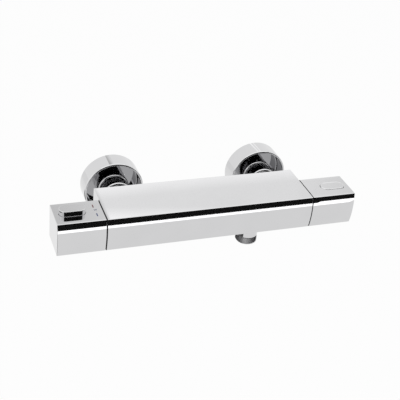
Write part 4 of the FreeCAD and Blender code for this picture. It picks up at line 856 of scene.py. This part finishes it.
# ---------------------------------------------------------------- inlets
@dataclass(frozen=True)
class Inlet:
    """Rosette, eccentric connector, union nut and tailpiece of one inlet.

    Stations are measured from the wall into the room. The lip, the union and the nut are rounded
    more than in the frame, so that their light rims show.
    """

    side: Side
    name: str
    fit: float = 0.1
    rosette_radius: float = 29.0
    rosette_depth: float = 19.0
    rosette_wall: float = 1.9
    rosette_floor: float = 2.2
    gasket: Span = (1.0, 1.5)           # its thickness, and how far in from the rim it begins
    lip_rounds: Span = (1.3, 0.5)       # outside and inside
    floor_round: float = 1.2
    union_radius: float = 15.6
    union_round: float = 2.1
    union: Span = (-2.0, 16.0)
    thread_end: float = 23.4
    thread_radius: float = 13.2
    room_bore: float = 9.0
    wall_bore: float = 7.8
    bore_ends: Span = (3.0, 4.0)        # where the room's bore ends, and the wall's
    wall_thread_drop: float = 5.0
    wall_thread_length: float = 18.0
    thread_run_out: float = 0.6
    nut_radius: float = 14.8
    nut_round: float = 1.9
    nut: Span = (16.6, 30.2)
    tail_start: float = 25.4
    tail_flange: Span = (13.0, 2.2)     # radius and thickness
    tail_neck: float = 12.0
    tail_root: Bore = Bore(10.4, 11.0)  # the part inside the body
    tail_bores: Span = (8.1, 6.5)       # before and after the step
    tail_step: float = 44.0

    def build(self) -> list[Object]:
        """Model the inlet's pieces and return them."""
        return [self.rosette(), self.connector(), self.union_nut(), self.tailpiece()]

    def done(self, piece: Workpiece, what: str) -> Object:
        """Carry a turned piece to this inlet and finish it in chrome."""
        node = self.name + "_" + what
        return piece.place(inlet_matrix(self.side)).finish(node + "_turned", [node])

    def rosette(self) -> Object:
        """Cup-shaped wall cover with a rounded lip."""
        outer, depth, seat = self.rosette_radius, self.rosette_depth, self.gasket[0]
        inner, reach = outer - self.rosette_wall, outer - self.gasket[1]
        floor, hole = seat + self.rosette_floor, self.union_radius + self.fit
        cup = turned([(0.0, reach), (0.0, outer), (depth, outer), (depth, inner), (floor, inner),
                      (floor, hole), (seat, hole), (seat, reach)], 192)
        cup.round_rings(self.lip_rounds[0], 7, outer, depth)
        cup.round_rings(self.lip_rounds[1], 4, inner, depth)
        cup.round_rings(self.floor_round, 5, inner, floor)
        made = self.done(cup, "rosette")
        # the darker chrome inside the cup is painted shade
        self.paint_recess_shade(made, inner + self.fit, seat + self.fit)
        return made

    def paint_recess_shade(self, made: Object, reach: float, above: float) -> None:
        """Paint shade into the inside of a cup as half-bright chrome: within a radius and above a
        station.
        """
        made.data.materials.append(RECESS_SHADE_CHROME.material())
        to_cup = inlet_matrix(self.side).inverted()
        for face in made.data.polygons:
            centre = to_cup @ (face.center / METRES)
            face.material_index = int(centre.z > above and math.hypot(centre.x, centre.y) < reach)

    def connector(self) -> Object:
        """Eccentric connector with its two threads and stepped bore."""
        low, high = self.union
        core = turned([(low, 0.0), (low, self.union_radius), (high, self.union_radius),
                       (high, self.thread_radius), (self.thread_end, self.thread_radius),
                       (self.thread_end, 0.0)], 160)
        core.round_rings(self.union_round, 8, self.union_radius, high)
        stub = low - self.wall_thread_length
        drop = Matrix.Translation((0, -self.wall_thread_drop, 0))
        core.combine(rod(stub, low + OVERSHOOT, THREAD.root).place(drop))
        core.cut(rod(self.bore_ends[0], self.thread_end + OVERSHOOT, self.room_bore))
        core.cut(rod(stub - OVERSHOOT, self.bore_ends[1], self.wall_bore).place(drop))
        ridge = THREAD.ridge(stub + self.thread_run_out, low - self.thread_run_out)
        return self.done(core.take(ridge.place(drop)), "s_union")

    def union_nut(self) -> Object:
        """Round union nut with softened ends and a lip round the tailpiece."""
        low, high = self.nut
        lip, bore = self.tail_neck + self.fit, self.thread_radius + self.fit
        flange_end = self.tail_start + self.tail_flange[1]
        nut = turned([(low, bore), (low, self.nut_radius), (high, self.nut_radius), (high, lip),
                      (flange_end, lip), (flange_end, bore)], 160)
        nut.round_rings(self.nut_round, 8, self.nut_radius)
        return self.done(nut, "union_nut")

    def tailpiece(self) -> Object:
        """Flanged nipple between the nut and the body."""
        start, step, back = self.tail_start, self.tail_step, -SECTION.shelf_y
        (flange, thickness), (wide, narrow) = self.tail_flange, self.tail_bores
        root, end = self.tail_root.radius, back + self.tail_root.depth
        return self.done(turned([
            (start, wide), (start, flange), (start + thickness, flange),
            (start + thickness, self.tail_neck), (back, self.tail_neck), (back, root), (end, root),
            (end, narrow), (step, narrow), (step, wide)]), "tailpiece")


@dataclass(frozen=True)
class HoseOutlet:
    """Threaded nipple for the shower hose, below the bar."""

    x: float = 43.5
    root: Bore = Bore(9.0, 6.5)     # the part inside the body
    seal: Span = (0.8, 1.2)         # half the width of its groove, and the depth
    collar: float = 10.3
    collar_round: float = 0.35
    groove: Span = (1.2, 2.4)       # width and depth, above the thread
    length: float = 18.2
    end_round: float = 0.4
    thread_run_out: float = 0.5
    bore: float = 6.5

    def build(self) -> list[Object]:
        """Model the nipple's plain collar and its cut thread, and return both."""
        place = SECTION.below(self.x)
        # the thread's darker chrome is painted shade in its groove and between its flanks
        return [self.plain_part().place(place).finish("hose_outlet_collar", ["hose_outlet"]),
                self.threaded_part().place(place).finish("hose_outlet_thread", coat=SHADED_THREAD_CHROME)]

    def plain_part(self) -> Workpiece:
        """Root with its seal groove, and the smooth collar below the bar."""
        crest, (root, depth), (half_width, deep) = THREAD.crest, self.root, self.seal
        low, high = -depth / 2 - half_width, -depth / 2 + half_width
        core = turned([(-depth, self.bore), (-depth, root), (low, root), (low, root - deep),
                       (high, root - deep), (high, root), (0.0, root), (0.0, crest),
                       (self.collar, crest), (self.collar, self.bore)])
        core.round_rings(self.collar_round, 3, crest, self.collar)
        return core

    def threaded_part(self) -> Workpiece:
        """Groove, core and helical ridge that take the hose's nut."""
        width, deep = self.groove
        groove_end, waist = self.collar + width, THREAD.crest - deep
        core = turned([(self.collar, self.bore), (self.collar, waist), (groove_end, waist),
                       (groove_end, THREAD.root), (self.length, THREAD.root),
                       (self.length, self.bore)])
        core.round_rings(self.end_round, 3, station=self.length)
        return core.take(THREAD.ridge(groove_end, self.length - self.thread_run_out))


# ---------------------------------------------------------------- inner works
def dress_frame() -> None:
    """Put the procedural finish of its material slot on every node of the frame."""
    for part in frame["record"]["subparts"]:
        materials = frame["nodes"][part["node"]].data.materials
        materials.clear()
        materials.append(SLOT_FINISHES[part["material_slot"]].material())


@dataclass(frozen=True)
class Spring:
    """Coil spring between two bodies of one joint.

    The frame's own solid is rigid, so a copy of its mesh stands for it, left where the solid is and as
    rigid. Lengths are metres, as in the record.
    """

    node: str
    fixed_body: str
    moving_body: str
    axis: int
    fixed_at: float

    def build(self) -> Object:
        """Model the spring and return it."""
        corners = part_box(self.node)
        fixed = (corners[0] + corners[1]) / 2
        moving = fixed.copy()
        fixed[self.axis] = self.fixed_at
        moving[self.axis] = max((corner[self.axis] for corner in corners),
                                key=lambda value: abs(value - self.fixed_at))
        made = bpy.data.objects.new(self.node + "_coil", frame["nodes"][self.node].data.copy())
        bpy.context.scene.collection.objects.link(made)
        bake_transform(made)
        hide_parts(self.node)
        LOG.info("%s: between %s and %s", made.name, self.fixed_body, self.moving_body)
        return made


def springs() -> list[Spring]:
    """Every spring that the record says shortens with a joint."""
    return [Spring(row["node"], joint["parent"], joint["child"], "xyz".index(row["mode"][-1]),
                   row[f"fixed_end_{row['mode'][-1]}_m"])
            for joint in frame["record"]["behaviour"]["joints"]
            for row in joint.get("deforming_nodes", ())]


# ---------------------------------------------------------------- studio
def lamp(name: str, place: Place, target: Place, size: Span, radiance: float) -> None:
    """Stand a rectangular soft lamp, unseen by the camera.

    Args:
        name: Name of the lamp.
        place: Its centre.
        target: Point that it faces.
        size: Width and height.
        radiance: Brightness that its face adds to what a mirror shows behind it.
    """
    data = bpy.data.lights.new(name, "AREA")
    data.shape = "RECTANGLE"
    data.size, data.size_y = size
    data.energy = radiance * math.pi * size[0] * size[1]
    made = bpy.data.objects.new(name, data)
    made.visible_camera = False
    facing = (Vector(target) - Vector(place)).to_track_quat("-Z", "Y")
    made.matrix_world = Matrix.Translation(place) @ facing.to_matrix().to_4x4()
    bpy.context.scene.collection.objects.link(made)


def grade(tree: NodeTree, place: NodeSocket, stops: Sequence[Point]) -> NodeSocket:
    """Grade a value along a coordinate.

    Args:
        tree: Node tree that gets the node.
        place: Socket with the coordinate in metres.
        stops: Coordinates and the value at each, in order.

    Returns:
        Socket with the graded value.
    """
    spread = add_node(tree, "ShaderNodeFloatCurve", {}, {"Value": place})
    spread.mapping.use_clip = False
    points = spread.mapping.curves[0].points
    points[0].location, points[1].location = stops[0], stops[-1]
    for stop in stops[1:-1]:
        points.new(*stop)
    for point in points:
        point.handle_type = "VECTOR"
    spread.mapping.update()
    return spread.outputs["Value"]


@dataclass(frozen=True)
class Studio:
    """Camera, pale floor, soft lamps, and the cards and softbox that the chrome mirrors.

    Lengths are metres. The camera is the photograph's own, solved from the valve's outline.
    """

    azimuth: float = math.radians(22.752)
    elevation: float = math.radians(31.541)
    roll: float = math.radians(6.473)
    place: Place = (-0.27748, -0.72256, 0.44861)
    focal_px: float = 891.40
    centre_px: Point = (203.07, 198.63)
    frame_px: float = 400.0
    sensor_mm: float = 36.0
    floor_z: float = -0.62
    floor_half: float = 6.0
    floor_glow: float = 0.94            # share of its white that is its own, where it is seen
    floor_in_chrome: float = 0.95       # strength of that white in mirrors
    floor_tone: Span = (0.86, 0.9)
    world_cast: float = 0.7             # strength of the surroundings for cast light
    card_y: float = -1.40
    card_low: float = -0.392            # the strip lamp begins here, below the dark card
    strip_low: float = -0.512
    step_x: float = 0.845               # a short step in the strip lamp's upper edge
    # Softbox: dull over the left handle and even past it, across and a little down its face.
    across: Place = (1.0, 0.0, -0.41)
    across_stops: tuple[Point, ...] = ((-0.32, 0.75), (-0.1, 0.87), (-0.095, 1.05), (0.3, 1.03),
                                       (0.82, 1.03), (1.1, 0.92))
    # Factor by height: brighter low down, where the rear of the flat tops looks.
    rear_stops: tuple[Point, ...] = ((1.575, 1.0), (1.6, 1.25), (1.68, 1.0), (1.785, 1.0),
                                     (1.82, 1.15))
    # Gleam added at the body's front left corner, from its end face on.
    gleam_along: Place = (-0.12, 0.0, 1.0)
    gleam_stops: tuple[Point, ...] = ((1.6, 0.0), (1.645, 0.0), (1.72, 0.3))
    gleam_edge: Span = (-0.1, -0.095)

    def build(self) -> None:
        """Set up everything that isn't the valve."""
        self.camera()
        self.floor()
        self.cards()
        self.softbox()
        self.lamps()
        self.world()
        bpy.context.scene.view_settings.view_transform = "Standard"

    def camera(self) -> None:
        """Stand the camera where the photograph was taken from."""
        a, e, r = self.azimuth, self.elevation, self.roll
        ahead = Vector((math.sin(a) * math.cos(e), math.cos(a) * math.cos(e), -math.sin(e)))
        level = Vector((math.cos(a), -math.sin(a), 0))
        up = level.cross(ahead)
        right = level * math.cos(r) + up * math.sin(r)
        top = -level * math.sin(r) + up * math.cos(r)
        lens = bpy.data.cameras.new("camera")
        lens.sensor_fit, lens.sensor_width = "HORIZONTAL", self.sensor_mm
        lens.lens = self.focal_px * self.sensor_mm / self.frame_px
        lens.shift_x = -(self.centre_px[0] - self.frame_px / 2) / self.frame_px
        lens.shift_y = (self.centre_px[1] - self.frame_px / 2) / self.frame_px
        lens.clip_start = 0.01
        camera = bpy.data.objects.new("camera", lens)
        turn = Matrix((right, top, -ahead)).transposed().to_4x4()
        camera.matrix_world = Matrix.Translation(self.place) @ turn
        bpy.context.scene.collection.objects.link(camera)
        bpy.context.scene.camera = camera

    def panel(self, name: str, spans: Sequence[Span], material: str,
              mirror_only: bool = True) -> NodeTree:
        """Flat stage panel with a blank material.

        Args:
            name: Name of the panel.
            spans: Its X, Y and Z spans, of which Y or Z has no width.
            material: Name of its material.
            mirror_only: Whether it shows in the chrome alone, not to the camera or as a shadow.

        Returns:
            The node tree of its material.
        """
        x, y, z = spans
        piece = Workpiece()
        piece.chain(((x[i], y[j], z[j]) for i, j in ((0, 0), (1, 0), (1, 1), (0, 1))), closed=True)
        piece.fill()
        panel = piece.to_object(name)
        if mirror_only:
            panel.visible_camera = panel.visible_diffuse = panel.visible_shadow = False
        panel.data.materials.append(bpy.data.materials.new(material))
        return blank_tree(panel.data.materials[0])

    def floor(self) -> None:
        """Pale floor, white to the camera and in the chrome, that still takes a faint shadow."""
        reach = (-self.floor_half, self.floor_half)
        tree = self.panel("floor", (reach, reach, (self.floor_z,) * 2), "matt_white_floor", False)
        path = add_node(tree, "ShaderNodeLightPath")
        share = ranged(tree, seen_directly(tree, path), (0.0, self.floor_glow))
        strength = ranged(tree, path.outputs["Is Glossy Ray"], (1.0, self.floor_in_chrome))
        grain = add_node(tree, "ShaderNodeTexNoise", {"Scale": 40.0, "Detail": 2.0})
        tone = ranged(tree, grain.outputs["Fac"], self.floor_tone)
        matt = add_node(tree, "ShaderNodeBsdfDiffuse", {}, {"Color": tone})
        white = add_node(tree, "ShaderNodeEmission", {"Color": WHITE}, {"Strength": strength})
        show(tree, add_node(tree, "ShaderNodeMixShader", {},
                            {"Fac": share, 1: matt.outputs[0], 2: white.outputs[0]}))

    def cards(self) -> None:
        """Studio cards that only mirror in the chrome: near black in front, grey low at the left."""
        front = ((-1.1, 3.2), (self.card_y,) * 2, (self.card_low, 1.5))
        low_left = ((-1.5, -0.58), (-0.6, 0.65), (self.floor_z + 0.02,) * 2)
        for name, spans, material, colour in (
                ("dark_card", front, "black_studio_card", "#1C1C1C"),
                ("low_card", low_left, "grey_studio_card", "#5C5C5C")):
            tree = self.panel(name, spans, material)
            show(tree, add_node(tree, "ShaderNodeBsdfDiffuse", {"Color": linear(colour)}))

    def softbox(self) -> None:
        """Large graded softbox behind, which the flat tops mirror."""
        heights = (self.rear_stops[0][0], self.rear_stops[-1][0])
        tree = self.panel("graded_softbox", ((0.0, 2.4), (2.5, 2.5), heights), "softbox_diffuser")
        place = add_node(tree, "ShaderNodeTexCoord").outputs["Object"]
        across, corner = (
            add_node(tree, "ShaderNodeVectorMath", {"operation": "DOT_PRODUCT", 1: direction},
                     {0: place}).outputs["Value"] for direction in (self.across, self.gleam_along))
        height = add_node(tree, "ShaderNodeSeparateXYZ", {}, {"Vector": place}).outputs["Z"]
        even = combined(tree, "MULTIPLY", grade(tree, across, self.across_stops),
                        grade(tree, height, self.rear_stops))
        gleam = combined(tree, "MULTIPLY", ranged(tree, across, (0.0, 1.0), self.gleam_edge),
                         grade(tree, corner, self.gleam_stops))
        show(tree, add_node(tree, "ShaderNodeEmission", {"Color": WHITE},
                            {"Strength": combined(tree, "ADD", even, gleam)}))

    def lamps(self) -> None:
        """Soft lamps: a strip under the card with a step in its edge, and large ones around."""
        middle = (self.card_low + self.strip_low) / 2
        step_y, step_z = self.card_y + 0.005, self.card_low + 0.02
        lamp("strip_lamp", (-0.15, self.card_y, middle), (-0.15, 0.0, middle),
             (2.11, self.card_low - self.strip_low), 0.9)
        lamp("strip_step", (self.step_x, step_y, step_z), (self.step_x, 0.0, step_z), (0.12, 0.06), 1.7)
        lamp("left_lamp", (-1.6, 0.2, 0.2), (0, -0.07, 0), (1.6, 1.6), 0.15)
        lamp("top_lamp", (0.3, -0.2, 1.9), (0.3, -0.2, 0), (3.0, 3.4), 0.28)
        lamp("low_lamp", (-0.6, 0.9, -0.6), (-0.6, 0.9, 0), (0.9, 1.3), 0.05)

    def world(self) -> None:
        """White surroundings, a little weaker for the light that they cast."""
        world = bpy.data.worlds.new("pale_studio")
        tree = blank_tree(world)
        path = add_node(tree, "ShaderNodeLightPath")
        strength = ranged(tree, seen_directly(tree, path), (self.world_cast, 1.0))
        show(tree, add_node(tree, "ShaderNodeBackground", {"Color": WHITE}, {"Strength": strength}),
             "World")
        bpy.context.scene.world = world


def main() -> None:
    """Dress the frame, build the pieces and set up the studio."""
    logging.basicConfig(level=logging.INFO, format="%(message)s")
    dress_frame()
    for built in (
            ValveBody(),
            Handle(Side.LEFT, Body.TEMPERATURE, "temperature_handle", 1.25, 43.75),
            Handle(Side.RIGHT, Body.FLOW, "flow_handle", 0.95, 44.05, slot_chamfer=0.6),
            GlidePlate(Side.LEFT, "temperature_glide_plate", inset=0.15),
            GlidePlate(Side.RIGHT, "flow_glide_plate"),
            PushButton(Side.LEFT, Body.SAFETY, "safety_button", rise=5.2, edge_round=0.5),
            PushButton(Side.RIGHT, Body.ECO, "eco_button", rise=0.4, edge_round=0.9),
            HandleMarks(),
            Inlet(Side.LEFT, "hot"),
            Inlet(Side.RIGHT, "cold"),
            HoseOutlet(),
            *springs(),
            Studio()):
        built.build()


if __name__ == "__main__":
    main()
